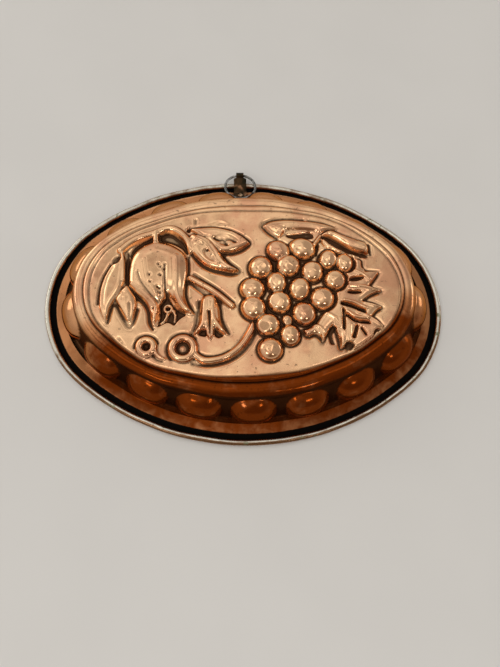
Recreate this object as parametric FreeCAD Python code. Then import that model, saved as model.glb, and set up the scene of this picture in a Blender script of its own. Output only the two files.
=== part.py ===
"""Oval copper jelly mould, pressed from one sheet, with a hanging ring.

The mould lies on its rim: the rim plane is z = 0, the dome points up +Z, +X runs along the
length and the hanging ring is on the +Y side. Sizes are millimetres.

Everything on the wall is placed by its inset, the distance inward from the outer edge of the
rim, and by its height above the rim plane. The oval is drawn with four arcs, so a moulding at
a constant inset is a profile turned about the centre of each arc.
"""
import FreeCAD
import Part
import math
import os

# Plan of the rim
overall_length = 220.0
overall_width = 155.4
end_arc_radius = 59.0

# Sheet and rolled rim
sheet = 0.8
roll_diameter = 3.0
roll_gap = 0.2
flange_width = 2.6

# Side: collar, wall, two beads and the raised field
collar_width = 7.6
collar_rise = 1.9
foot_radius = 2.5
wall_run = 7.2
wall_rise = 14.1
lower_bead_width = 7.6
lower_bead_rise = 4.3
lower_bead_bulge = 2.3
upper_bead_width = 4.4
upper_bead_rise = 1.4
upper_bead_bulge = 1.3
field_step_width = 1.0
field_step_rise = 0.4
field_margin = 0.6

# Lobes round the wall
lobe_count = 17
lobe_length = 30.2
lobe_radius = 10.0
lobe_inset = 20.7
lobe_height = 5.1

# Grapes: centre x, centre y and radius where each one meets the field
grape_bulge = 0.8
grapes = [
    (16.3, 21.2, 5.7), (28.9, 23.0, 6.2), (6.8, 11.4, 6.3), (21.3, 12.8, 6.1),
    (33.8, 9.5, 5.7), (42.4, 16.8, 5.0), (51.0, 15.0, 4.8), (45.4, 5.1, 5.4),
    (2.4, -0.8, 6.2), (14.8, 3.0, 5.2), (26.8, -0.2, 5.6), (38.3, -5.6, 6.2),
    (2.9, -11.2, 6.4), (16.3, -8.0, 6.1), (28.7, -13.8, 6.0), (10.2, -20.2, 5.7),
    (21.2, -25.5, 5.3), (11.2, -33.1, 6.2),
]

# Hanger: a strip folded round the ring's wire and riveted to the collar
hanger_x = -4.0
strip = 0.6
strap_width = 7.4
knuckle_width = 4.4
knuckle_length = 3.4
shoulder_length = 0.9
strap_reach_in = 10.6
strap_reach_out = 6.3
strap_corner = 2.4
strap_bend = 0.8
collar_landing = 0.6
roll_landing = 2.7
lie_gap = 0.05
rivet_inset = 8.6
rivet_diameter = 1.8
rivet_head_diameter = 3.2
rivet_head_height = 0.7
rivet_tail_diameter = 2.6
rivet_tail_height = 0.3
rivet_gap = 0.05

# Ring
ring_outer_diameter = 19.4
ring_wire = 1.5
ring_play = 0.4
ring_tilt = 8.5

# Round stretches are runs of chords, so that the mesh made from the solids stays light
roll_chords = 6
roll_inner_chords = 3
foot_chords = 2
lower_bead_chords = 3
upper_bead_chords = 2
lobe_chords = 5
grape_chords = 2
ring_chords = 8

# Clearance of the cutting and bounding tools beyond what they cut
tool_reach = 12.0
tool_margin = 1.0

half_length = overall_length / 2
half_width = overall_width / 2
side_arc_radius = ((half_length - end_arc_radius) ** 2 + half_width ** 2 - end_arc_radius ** 2) / (
    2 * (half_width - end_arc_radius))
end_centre = half_length - end_arc_radius
side_centre = side_arc_radius - half_width
end_half_angle = math.atan2(side_centre, end_centre)

Z_AXIS = FreeCAD.Vector(0, 0, 1)
ROUNDED, MITRED = 0, 2
roll_radius = roll_diameter / 2
collar_start = roll_diameter + flange_width
collar_end = collar_start + collar_width
collar_slope = math.atan2(collar_rise, collar_width)
wall_end = collar_end + wall_run
wall_top = sheet + collar_rise + wall_rise
lower_bead_end = wall_end + lower_bead_width
lower_bead_top = wall_top + lower_bead_rise
upper_bead_end = lower_bead_end + upper_bead_width
upper_bead_top = lower_bead_top + upper_bead_rise
field_start = upper_bead_end + field_step_width
field_height = upper_bead_top + field_step_rise
field_inset = field_start + field_margin
eye_radius = ring_wire / 2 + ring_play
eye_reach = strap_reach_out - eye_radius - strip
eye_height = roll_diameter + lie_gap + strip


def oval_arcs():
    """The four arcs of the oval: centre, radius, first angle and swept angle, counterclockwise."""
    end_sweep = 2 * end_half_angle
    side_sweep = math.pi - end_sweep
    return [
        (end_centre, 0.0, end_arc_radius, -end_half_angle, end_sweep),
        (0.0, -side_centre, side_arc_radius, end_half_angle, side_sweep),
        (-end_centre, 0.0, end_arc_radius, math.pi - end_half_angle, end_sweep),
        (0.0, side_centre, side_arc_radius, math.pi + end_half_angle, side_sweep),
    ]


def on_oval(inset, distance):
    """Point at an inset, an arc distance clockwise from the middle of the +Y side, and the outward angle."""
    arcs = oval_arcs()
    runs = [(radius - inset) * sweep for cx, cy, radius, first, sweep in arcs]
    along = (runs[0] + runs[1] / 2 - distance) % sum(runs)
    index = 0
    while index < len(arcs) - 1 and along > runs[index]:
        along -= runs[index]
        index += 1
    cx, cy, radius, first, sweep = arcs[index]
    reach = radius - inset
    angle = first + along / reach
    return cx + reach * math.cos(angle), cy + reach * math.sin(angle), angle


def line(a, b):
    """Straight edge between two (inset, height) points, drawn in the XZ plane."""
    return Part.LineSegment(FreeCAD.Vector(a[0], 0, a[1]), FreeCAD.Vector(b[0], 0, b[1])).toShape()


def arc(a, middle, b):
    """Arc through three (inset, height) points, drawn in the XZ plane."""
    points = [FreeCAD.Vector(p[0], 0, p[1]) for p in (a, middle, b)]
    return Part.Arc(*points).toShape()


def chords(edge, count):
    """A curved edge as a run of straight chords of one length."""
    points = edge.discretize(count + 1)
    return [Part.LineSegment(a, b).toShape() for a, b in zip(points, points[1:])]


def bulge_middle(a, b, bulge):
    """Middle point of an arc from a to b that stands a bulge off its chord, on the upper side."""
    run, rise = b[0] - a[0], b[1] - a[1]
    length = math.hypot(run, rise)
    return (a[0] + b[0]) / 2 - rise / length * bulge, (a[1] + b[1]) / 2 + run / length * bulge


def rounded_corner(before, corner, after, radius):
    """Start, middle and end of the arc that rounds a corner between two straight runs."""
    first = math.atan2(before[1] - corner[1], before[0] - corner[0])
    second = math.atan2(after[1] - corner[1], after[0] - corner[0])
    opening = abs((second - first + math.pi) % (2 * math.pi) - math.pi)
    setback = radius / math.tan(opening / 2)
    start = corner[0] + setback * math.cos(first), corner[1] + setback * math.sin(first)
    end = corner[0] + setback * math.cos(second), corner[1] + setback * math.sin(second)
    bisector = math.atan2((start[1] + end[1]) / 2 - corner[1], (start[0] + end[0]) / 2 - corner[0])
    depth = radius / math.sin(opening / 2) - radius
    middle = corner[0] + depth * math.cos(bisector), corner[1] + depth * math.sin(bisector)
    return start, middle, end


def outside_profile():
    """Outside of the sheet from the roll to the field, as a wire of (inset, height) runs."""
    flange_edge = (roll_radius, sheet)
    collar_foot = (collar_start, sheet)
    wall_foot = (collar_end, sheet + collar_rise)
    wall_head = (wall_end, wall_top)
    groove = (lower_bead_end, lower_bead_top)
    step_foot = (upper_bead_end, upper_bead_top)
    step_head = (field_start, field_height)
    foot_start, foot_middle, foot_end = rounded_corner(collar_foot, wall_foot, wall_head, foot_radius)
    foot = arc(foot_start, foot_middle, foot_end)
    lower_bead = arc(wall_head, bulge_middle(wall_head, groove, lower_bead_bulge), groove)
    upper_bead = arc(groove, bulge_middle(groove, step_foot, upper_bead_bulge), step_foot)
    return Part.Wire([
        line(flange_edge, collar_foot),
        line(collar_foot, foot_start),
        *chords(foot, foot_chords),
        line(foot_end, wall_head),
        *chords(lower_bead, lower_bead_chords),
        *chords(upper_bead, upper_bead_chords),
        line(step_foot, step_head),
        line(step_head, (field_inset, field_height)),
    ])


def region_below(profile, height):
    """Face between a profile and a level below it."""
    first = profile.OrderedVertexes[0].Point
    last = profile.OrderedVertexes[-1].Point
    low = [(last.x, height), (first.x, height)]
    edges = list(profile.OrderedEdges)
    edges.append(line((last.x, last.z), low[0]))
    edges.append(line(low[0], low[1]))
    edges.append(line(low[1], (first.x, first.z)))
    return Part.Face(Part.Wire(edges))


def turned(face):
    """The face of an (inset, height) section turned round the four arcs of the oval."""
    solids = []
    for cx, cy, radius, first, sweep in oval_arcs():
        section = face.copy()
        section = section.mirror(FreeCAD.Vector(0, 0, 0), FreeCAD.Vector(1, 0, 0))
        section.translate(FreeCAD.Vector(radius, 0, 0))
        section.rotate(FreeCAD.Vector(0, 0, 0), Z_AXIS, math.degrees(first))
        section.translate(FreeCAD.Vector(cx, cy, 0))
        solids.append(section.revolve(FreeCAD.Vector(cx, cy, 0), Z_AXIS, math.degrees(sweep)))
    return solids


def oval_prism(inset, bottom, top):
    """Solid with the oval's outline at an inset, between two heights."""
    edges = []
    for cx, cy, radius, first, sweep in oval_arcs():
        points = []
        for share in (0.0, 0.5, 1.0):
            angle = first + sweep * share
            reach = radius - inset
            points.append(FreeCAD.Vector(cx + reach * math.cos(angle), cy + reach * math.sin(angle), bottom))
        edges.append(Part.Arc(*points).toShape())
    return Part.Face(Part.Wire(edges)).extrude(FreeCAD.Vector(0, 0, top - bottom))


def lobe_distances():
    """Arc distance of each lobe's centre; the hanger lies in the gap between two lobes."""
    run = 2 * (
        (end_arc_radius - lobe_inset) * 2 * end_half_angle
        + (side_arc_radius - lobe_inset) * (math.pi - 2 * end_half_angle))
    hanger_distance = hanger_x * (side_arc_radius - lobe_inset) / side_arc_radius
    pitch = run / lobe_count
    return [hanger_distance + pitch * (index + 0.5) for index in range(lobe_count)]


def lobe_solid(distance, inward):
    """One lobe as a solid of revolution about a line along the rim; inward thins it for the inside."""
    x, y, angle = on_oval(lobe_inset, distance)
    half = lobe_length / 2 - inward
    radius = lobe_radius - inward
    outline = Part.Ellipse(FreeCAD.Vector(0, 0, 0), half, radius)
    half_turn = chords(Part.ArcOfEllipse(outline, 0, math.pi).toShape(), lobe_chords)
    axis = Part.LineSegment(FreeCAD.Vector(-half, 0, 0), FreeCAD.Vector(half, 0, 0)).toShape()
    face = Part.Face(Part.Wire([*half_turn, axis]))
    lobe = face.revolve(FreeCAD.Vector(0, 0, 0), FreeCAD.Vector(1, 0, 0), 360)
    lobe.rotate(FreeCAD.Vector(0, 0, 0), Z_AXIS, math.degrees(angle) + 90)
    lobe.translate(FreeCAD.Vector(x, y, lobe_height))
    return lobe


def grape_solid(x, y, radius, inward):
    """One grape as a ball cap that stands out of the field; inward thins it for the inside."""
    rise = radius * grape_bulge
    outer_radius = (radius ** 2 + rise ** 2) / (2 * rise)
    centre = rise - outer_radius
    ball_radius = outer_radius - inward
    foot_angle = math.asin((-inward - centre) / ball_radius)

    def at(angle):
        return ball_radius * math.cos(angle), centre + ball_radius * math.sin(angle)

    foot = at(foot_angle)
    top = (0.0, centre + ball_radius)
    cap = arc(foot, at((foot_angle + math.pi / 2) / 2), top)
    sunk = -inward - tool_margin
    face = Part.Face(Part.Wire([
        line((0, sunk), (foot[0], sunk)),
        line((foot[0], sunk), foot),
        *chords(cap, grape_chords),
        line(top, (0, sunk)),
    ]))
    grape = face.revolve(FreeCAD.Vector(0, 0, 0), Z_AXIS, 360)
    grape.translate(FreeCAD.Vector(x, y, field_height))
    return grape


def curl_section():
    """Section of the rolled edge: the sheet curls outward, up and back over the flange."""
    inner = roll_radius - sheet
    drop = math.asin((roll_radius - sheet - roll_gap) / roll_radius)

    def at(radius, angle):
        return roll_radius + radius * math.cos(angle), roll_radius + radius * math.sin(angle)

    outer_curl = arc(at(roll_radius, -math.pi / 2), at(roll_radius, math.pi), at(roll_radius, -drop))
    inner_curl = arc(at(inner, -drop), at(inner, math.pi), at(inner, -math.pi / 2))
    return Part.Face(Part.Wire([
        *chords(outer_curl, roll_chords),
        line(at(roll_radius, -drop), at(inner, -drop)),
        *chords(inner_curl, roll_inner_chords),
        line(at(inner, -math.pi / 2), at(roll_radius, -math.pi / 2)),
    ]))


def hanger_place(inset=0.0, height=0.0):
    """Placement above the rim at the hanger: Y points out across the rim and X runs along it."""
    angle = math.asin(hanger_x / side_arc_radius)
    reach = side_arc_radius - inset
    base = FreeCAD.Vector(reach * math.sin(angle), reach * math.cos(angle) - side_centre, height)
    return FreeCAD.Placement(base, FreeCAD.Rotation(Z_AXIS, -math.degrees(angle)))


def collar_height(inset):
    """Height of the collar's outside at an inset."""
    return sheet + (inset - collar_start) * math.tan(collar_slope)


def rivet_place():
    """Placement on the collar's outside at the rivet: Z leaves the sheet."""
    tilt = FreeCAD.Rotation(FreeCAD.Vector(1, 0, 0), -math.degrees(collar_slope))
    return hanger_place(rivet_inset, collar_height(rivet_inset)).multiply(
        FreeCAD.Placement(FreeCAD.Vector(0, 0, 0), tilt))


def rivet_hole():
    """Drill through collar and strap, a little wider than the rivet."""
    foot = FreeCAD.Vector(0, 0, -tool_reach / 2)
    hole = Part.makeCylinder(rivet_diameter / 2 + rivet_gap, tool_reach, foot)
    hole.Placement = rivet_place()
    return hole


def mould_body():
    """The pressed sheet: outside form less inside form, with the rolled rim joined on."""
    outside = outside_profile()
    inside = outside.makeOffset2D(-sheet, MITRED, False, True, False)
    outer_parts = turned(region_below(outside, 0.0))
    outer_parts.append(oval_prism(field_inset, 0.0, field_height))
    inner_parts = turned(region_below(inside, -tool_reach))
    inner_parts.append(oval_prism(field_inset, -tool_reach, field_height - sheet))
    for distance in lobe_distances():
        outer_parts.append(lobe_solid(distance, 0.0))
        inner_parts.append(lobe_solid(distance, sheet))
    for x, y, radius in grapes:
        outer_parts.append(grape_solid(x, y, radius, 0.0))
        inner_parts.append(grape_solid(x, y, radius, sheet))
    outer = outer_parts[0].fuse(outer_parts[1:])
    inner = inner_parts[0].fuse(inner_parts[1:])
    shell = outer.cut(inner)
    body = shell.fuse(turned(curl_section()))
    return body.cut(rivet_hole()).removeSplitter()


def across_rim(section, width):
    """A section of (inset, height) runs as a solid across the hanger, centred on it."""
    solid = section.mirror(FreeCAD.Vector(0, 0, 0), FreeCAD.Vector(1, 0, 0))
    solid.rotate(FreeCAD.Vector(0, 0, 0), Z_AXIS, 90)
    solid.translate(FreeCAD.Vector(-width / 2, 0, 0))
    return solid.extrude(FreeCAD.Vector(width, 0, 0))


def strap_side():
    """Side view of the folded strip: along the collar, over the roll and round the ring's wire."""
    thickness = 2 * strip
    end = (-eye_reach, roll_diameter + lie_gap)
    over_roll = (roll_landing, roll_diameter + lie_gap)
    on_collar = (collar_start + collar_landing, collar_height(collar_start + collar_landing) + lie_gap)
    tail = (strap_reach_in, collar_height(strap_reach_in) + lie_gap)
    top_start, top_middle, top_end = rounded_corner(end, over_roll, on_collar, strap_bend)
    low_start, low_middle, low_end = rounded_corner(over_roll, on_collar, tail, strap_bend + thickness)
    under = Part.Wire([
        line(end, top_start),
        arc(top_start, top_middle, top_end),
        line(top_end, low_start),
        arc(low_start, low_middle, low_end),
        line(low_end, tail),
    ])
    over = under.makeOffset2D(thickness, ROUNDED, False, True, False)
    under_ends = [vertex.Point for vertex in under.OrderedVertexes]
    over_ends = [vertex.Point for vertex in over.OrderedVertexes]
    if over_ends[0].x > over_ends[-1].x:
        over_ends.reverse()
    edges = list(under.Edges) + list(over.Edges)
    edges.append(Part.LineSegment(under_ends[0], over_ends[0]).toShape())
    edges.append(Part.LineSegment(under_ends[-1], over_ends[-1]).toShape())
    return Part.Face(Part.Wire(Part.__sortEdges__(edges)))


def strap_plan():
    """Outline of the strap seen from above, as a tall prism: round tail, shoulders and knuckle."""
    half = strap_width / 2
    neck = knuckle_width / 2
    corner = strap_corner * (1 - math.sqrt(0.5))
    shoulder = strap_reach_out - knuckle_length
    tail = -strap_reach_in
    right = [
        (half, tail + strap_corner), (half, shoulder - shoulder_length), (neck, shoulder),
        (neck, strap_reach_out + tool_margin),
    ]
    points = [FreeCAD.Vector(x, y, 0) for x, y in right]
    points += [FreeCAD.Vector(-x, y, 0) for x, y in reversed(right)]
    edges = [Part.LineSegment(a, b).toShape() for a, b in zip(points, points[1:])]
    left_end = FreeCAD.Vector(strap_corner - half, tail, 0)
    right_end = FreeCAD.Vector(half - strap_corner, tail, 0)
    left_middle = FreeCAD.Vector(corner - half, tail + corner, 0)
    right_middle = FreeCAD.Vector(half - corner, tail + corner, 0)
    edges.append(Part.Arc(points[-1], left_middle, left_end).toShape())
    edges.append(Part.LineSegment(left_end, right_end).toShape())
    edges.append(Part.Arc(right_end, right_middle, points[0]).toShape())
    prism = Part.Face(Part.Wire(edges)).extrude(FreeCAD.Vector(0, 0, tool_reach))
    prism.translate(FreeCAD.Vector(0, 0, -tool_margin))
    return prism


def hanger_strap():
    """The folded strip with its eye, drilled for the rivet."""
    eye_centre = FreeCAD.Vector(-strap_width / 2, eye_reach, eye_height)
    along_rim = FreeCAD.Vector(1, 0, 0)
    strap = across_rim(strap_side(), strap_width)
    strap = strap.fuse(Part.makeCylinder(eye_radius + strip, strap_width, eye_centre, along_rim))
    strap = strap.cut(Part.makeCylinder(eye_radius, strap_width, eye_centre, along_rim))
    strap = strap.common(strap_plan())
    strap.Placement = hanger_place()
    return strap.cut(rivet_hole()).removeSplitter()


def hanger_rivet():
    """Rivet through strap and collar: a domed head outside and a flat tail inside."""
    seat = lie_gap + 2 * strip
    head = rivet_head_diameter / 2
    dome_radius = (head ** 2 + rivet_head_height ** 2) / (2 * rivet_head_height)
    rim_angle = math.degrees(math.acos(head / dome_radius))
    sunk = dome_radius - rivet_head_height
    dome = Part.makeSphere(dome_radius, FreeCAD.Vector(0, 0, seat - sunk), Z_AXIS, rim_angle, 90, 360)
    shank = Part.makeCylinder(rivet_diameter / 2, sheet + seat, FreeCAD.Vector(0, 0, -sheet))
    tail_foot = FreeCAD.Vector(0, 0, -sheet - rivet_tail_height)
    tail = Part.makeCylinder(rivet_tail_diameter / 2, rivet_tail_height, tail_foot)
    rivet = shank.fuse([dome, tail]).removeSplitter()
    rivet.Placement = rivet_place()
    return rivet


def hanging_ring():
    """Wire ring through the eye, leaning inward over the strap."""
    wire = ring_wire / 2
    radius = ring_outer_diameter / 2 - wire
    sag = radius - math.sqrt(radius ** 2 - (knuckle_width / 2) ** 2)
    reach = radius - sag / 2
    tilt = math.radians(ring_tilt)
    section = Part.makeCircle(wire, FreeCAD.Vector(radius, 0, 0), FreeCAD.Vector(0, 1, 0))
    ring = Part.Face(Part.Wire(chords(section, ring_chords))).revolve(FreeCAD.Vector(0, 0, 0), Z_AXIS, 360)
    ring.rotate(FreeCAD.Vector(0, 0, 0), FreeCAD.Vector(1, 0, 0), -ring_tilt)
    ring.translate(FreeCAD.Vector(0, eye_reach - reach * math.cos(tilt), eye_height + reach * math.sin(tilt)))
    ring.Placement = hanger_place().multiply(ring.Placement)
    return ring


if __name__ == "__main__":
    os.makedirs("parts", exist_ok=True)
    pieces = {
        "mould_body": mould_body(),
        "hanger_strap": hanger_strap(),
        "hanger_rivet": hanger_rivet(),
        "hanging_ring": hanging_ring(),
    }
    for name, piece in pieces.items():
        solid = piece.Solids[0]
        print(name, len(piece.Solids), solid.isValid(), round(solid.Volume, 2), solid.optimalBoundingBox(True, False))
        solid.exportStep(f"parts/{name}.step")
    pivot = hanger_place().multVec(FreeCAD.Vector(0, eye_reach, eye_height))
    along = hanger_place().Rotation.multVec(FreeCAD.Vector(1, 0, 0))
    print("ring pivot", pivot, "axis", along)
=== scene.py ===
"""Looks of an oval copper jelly mould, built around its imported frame.

The mould lies on its rim, as the frame has it: +Z out of the raised field and +Y towards the
hanging ring. Shapes are worked out in millimetres, and become metres when a mesh is made. A place
on the side of the mould is given by its inset, the distance inward from the rim's outer edge.
"""

import enum
import logging
import math
from dataclasses import dataclass, field

import bmesh
import bpy
import numpy as np
from mathutils import Matrix, Vector
from mathutils.geometry import delaunay_2d_cdt


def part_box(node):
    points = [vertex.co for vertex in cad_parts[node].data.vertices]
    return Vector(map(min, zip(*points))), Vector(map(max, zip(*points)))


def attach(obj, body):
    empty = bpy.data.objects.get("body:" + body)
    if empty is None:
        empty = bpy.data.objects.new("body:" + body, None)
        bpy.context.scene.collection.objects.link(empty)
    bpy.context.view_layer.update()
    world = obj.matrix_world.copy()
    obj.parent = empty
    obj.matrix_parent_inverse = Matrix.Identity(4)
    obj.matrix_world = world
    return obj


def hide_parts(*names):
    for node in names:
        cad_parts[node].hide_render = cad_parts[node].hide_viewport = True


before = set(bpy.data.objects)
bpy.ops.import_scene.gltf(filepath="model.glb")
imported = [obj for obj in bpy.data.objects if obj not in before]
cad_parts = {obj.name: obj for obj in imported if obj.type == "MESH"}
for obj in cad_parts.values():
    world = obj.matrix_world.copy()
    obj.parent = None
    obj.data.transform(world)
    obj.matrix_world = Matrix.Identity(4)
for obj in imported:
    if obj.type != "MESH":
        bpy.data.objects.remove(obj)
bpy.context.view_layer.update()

LOG = logging.getLogger("jelly_mould")
MM = 0.001
HANGER_X = -4.0

Point = tuple[float, float]
Colour = tuple[float, float, float]
Spot = tuple[float, float, float]
Run = tuple[Point, ...]


def smooth_run(points: Run, samples: int = 7) -> np.ndarray:
    """Smooth open curve through the given points.

    Args:
        points: The points, from one end to the other.
        samples: Steps between two neighbouring points.

    Returns:
        The curve's points, one row each.
    """
    given = np.array(points, float)
    if len(given) < 3:
        return given
    ends = np.vstack([2 * given[0] - given[1], given, 2 * given[-1] - given[-2]])
    rows = []
    for p0, p1, p2, p3 in zip(ends, ends[1:], ends[2:], ends[3:]):
        for t in np.arange(samples) / samples:
            rows.append(0.5 * (2 * p1 + (p2 - p0) * t + (2 * p0 - 5 * p1 + 4 * p2 - p3) * t ** 2
                               + (3 * p1 - p0 - 3 * p2 + p3) * t ** 3))
    rows.append(given[-1])
    return np.array(rows)


def outline(*runs: Run) -> np.ndarray:
    """Closed outline of smooth runs that meet at sharp corners.

    Args:
        runs: Each run goes on from the last point of the one before it, and the first from that of
            the last, so a run's own starting point is left out.

    Returns:
        The outline's points, without the first one repeated.
    """
    return np.vstack([smooth_run((before[-1], *run))[:-1] for before, run in zip((runs[-1], *runs), runs)])


def circle(x: float, y: float, radius: float, steps: int = 36) -> np.ndarray:
    """Closed ring of points round a centre."""
    angles = np.linspace(0, 2 * math.pi, steps + 1)
    return np.column_stack([x + radius * np.cos(angles), y + radius * np.sin(angles)])


def smooth_step(values: np.ndarray, low: float, high: float) -> np.ndarray:
    """Values eased from 0 at low to 1 at high."""
    share = np.clip((values - low) / (high - low), 0, 1)
    return share * share * (3 - 2 * share)


@dataclass(frozen=True)
class Oval:
    """The rim's outline, drawn with four arcs; a moulding keeps a constant inset from it."""

    half_length: float
    half_width: float
    end_radius: float = 59.0

    @property
    def end_centre(self) -> float:
        """Distance of each end arc's centre from the middle."""
        return self.half_length - self.end_radius

    @property
    def side_radius(self) -> float:
        """Radius of the long side arcs."""
        over = self.end_centre ** 2 + self.half_width ** 2 - self.end_radius ** 2
        return over / (2 * (self.half_width - self.end_radius))

    @property
    def side_centre(self) -> float:
        """Distance of each side arc's centre beyond the middle."""
        return self.side_radius - self.half_width

    @property
    def end_half_angle(self) -> float:
        """Half of the angle that an end arc sweeps."""
        return math.atan2(self.side_centre, self.end_centre)

    def arcs(self) -> list[tuple[float, float, float, float, float]]:
        """Centre x and y, radius, first angle and sweep of each arc, counterclockwise."""
        end = self.end_half_angle
        side = math.pi - 2 * end
        return [
            (self.end_centre, 0.0, self.end_radius, -end, 2 * end),
            (0.0, -self.side_centre, self.side_radius, end, side),
            (-self.end_centre, 0.0, self.end_radius, math.pi - end, 2 * end),
            (0.0, self.side_centre, self.side_radius, math.pi + end, side),
        ]

    def points(self, inset: float, count: int, start_x: float) -> np.ndarray:
        """Evenly spaced points at an inset, counterclockwise.

        Args:
            inset: Distance inward from the rim.
            count: How many points.
            start_x: Where the first one lies on the +Y side, measured at the rim.

        Returns:
            One row of x and y for each point.
        """
        arcs = self.arcs()
        runs = [(radius - inset) * sweep for _, _, radius, _, sweep in arcs]
        start_angle = math.pi / 2 - math.asin(start_x / self.side_radius)
        start = runs[0] + (start_angle - arcs[1][3]) * (self.side_radius - inset)
        rows = []
        for step in range(count):
            along = (start + step * sum(runs) / count) % sum(runs)
            index = 0
            while index < len(arcs) - 1 and along > runs[index]:
                along -= runs[index]
                index += 1
            cx, cy, radius, first, _ = arcs[index]
            reach = radius - inset
            angle = first + along / reach
            rows.append((cx + reach * math.cos(angle), cy + reach * math.sin(angle)))
        return np.array(rows)

    def folded(self, x: np.ndarray, y: np.ndarray) -> tuple[np.ndarray, np.ndarray, np.ndarray]:
        """Points folded into the first quarter of the plan, and whether each faces the end's arc."""
        right, up = np.abs(x), np.abs(y)
        return right, up, np.arctan2(up, right - self.end_centre) < self.end_half_angle

    def outward(self, x: np.ndarray, y: np.ndarray) -> np.ndarray:
        """Direction square to the rim at any points in the plan."""
        right, up, at_end = self.folded(x, y)
        way = np.where(at_end[:, None], np.column_stack([right - self.end_centre, up]),
                       np.column_stack([right, up + self.side_centre]))
        return way / np.hypot(*way.T)[:, None] * np.column_stack([np.sign(x), np.sign(y)])

    def inset_of(self, x: np.ndarray, y: np.ndarray) -> np.ndarray:
        """Inset of any points in the plan."""
        right, up, at_end = self.folded(x, y)
        end = self.end_radius - np.hypot(right - self.end_centre, up)
        side = self.side_radius - np.hypot(right, up + self.side_centre)
        return np.where(at_end, end, side)


@dataclass(frozen=True)
class Spread:
    """How far the groove and the field's edge lie outside their even inset, by direction in degrees."""

    start: float = 14.0
    groove_inset: float = 28.0
    edge_inset: float = 32.6
    groove: tuple[Point, ...] = (
        (-173, 2.7), (-160, 2.3), (-141, 3.6), (-130, 3.4), (-118, 2.0), (-105, 0.8), (-88, 0.0),
        (-60, -0.6), (-30, -0.6), (-8, 0.0), (11, 1.7), (23, 3.6), (38, 4.8), (55, 3.4), (75, 1.0),
        (94, 0.0), (125, 0.8), (145, 2.7), (160, 3.3),
    )
    edge: tuple[Point, ...] = (
        (-179, 3.3), (-158, 5.0), (-144, 6.6), (-133, 6.6), (-122, 5.2), (-108, 3.2), (-88, 1.0),
        (-60, 1.8), (-40, 2.6), (-17, 2.2), (0, 2.8), (15, 3.6), (30, 5.4), (43, 6.4), (60, 4.6),
        (80, 1.2), (94, 0.6), (118, 2.2), (140, 4.0), (160, 4.2),
    )

    @staticmethod
    def around(steps: tuple[Point, ...], angles: np.ndarray) -> np.ndarray:
        """Smoothed amount at each angle."""
        degrees, amounts = zip(*steps)
        whole = np.arange(360.0)
        raw = np.interp(whole, degrees, amounts, period=360)
        bell = np.hanning(27)
        smooth = np.convolve(np.concatenate([raw[-13:], raw, raw[:13]]), bell / bell.sum(), "valid")
        return np.interp(angles, whole, smooth, period=360)

    def amount(self, oval: Oval, x: np.ndarray, y: np.ndarray, inset: np.ndarray) -> np.ndarray:
        """How far each point at an even inset lies further out."""
        angles = np.degrees(np.arctan2(y / oval.half_width, x / oval.half_length))
        groove, edge = self.around(self.groove, angles), self.around(self.edge, angles)
        beyond = smooth_step(inset, self.groove_inset, self.edge_inset)
        return smooth_step(inset, self.start, self.groove_inset) * (groove + (edge - groove) * beyond)


class Work(enum.Enum):
    """How a tool changes the sheet's surface."""

    RAISE = "raise"
    ADD = "add"
    SINK = "sink"


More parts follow.
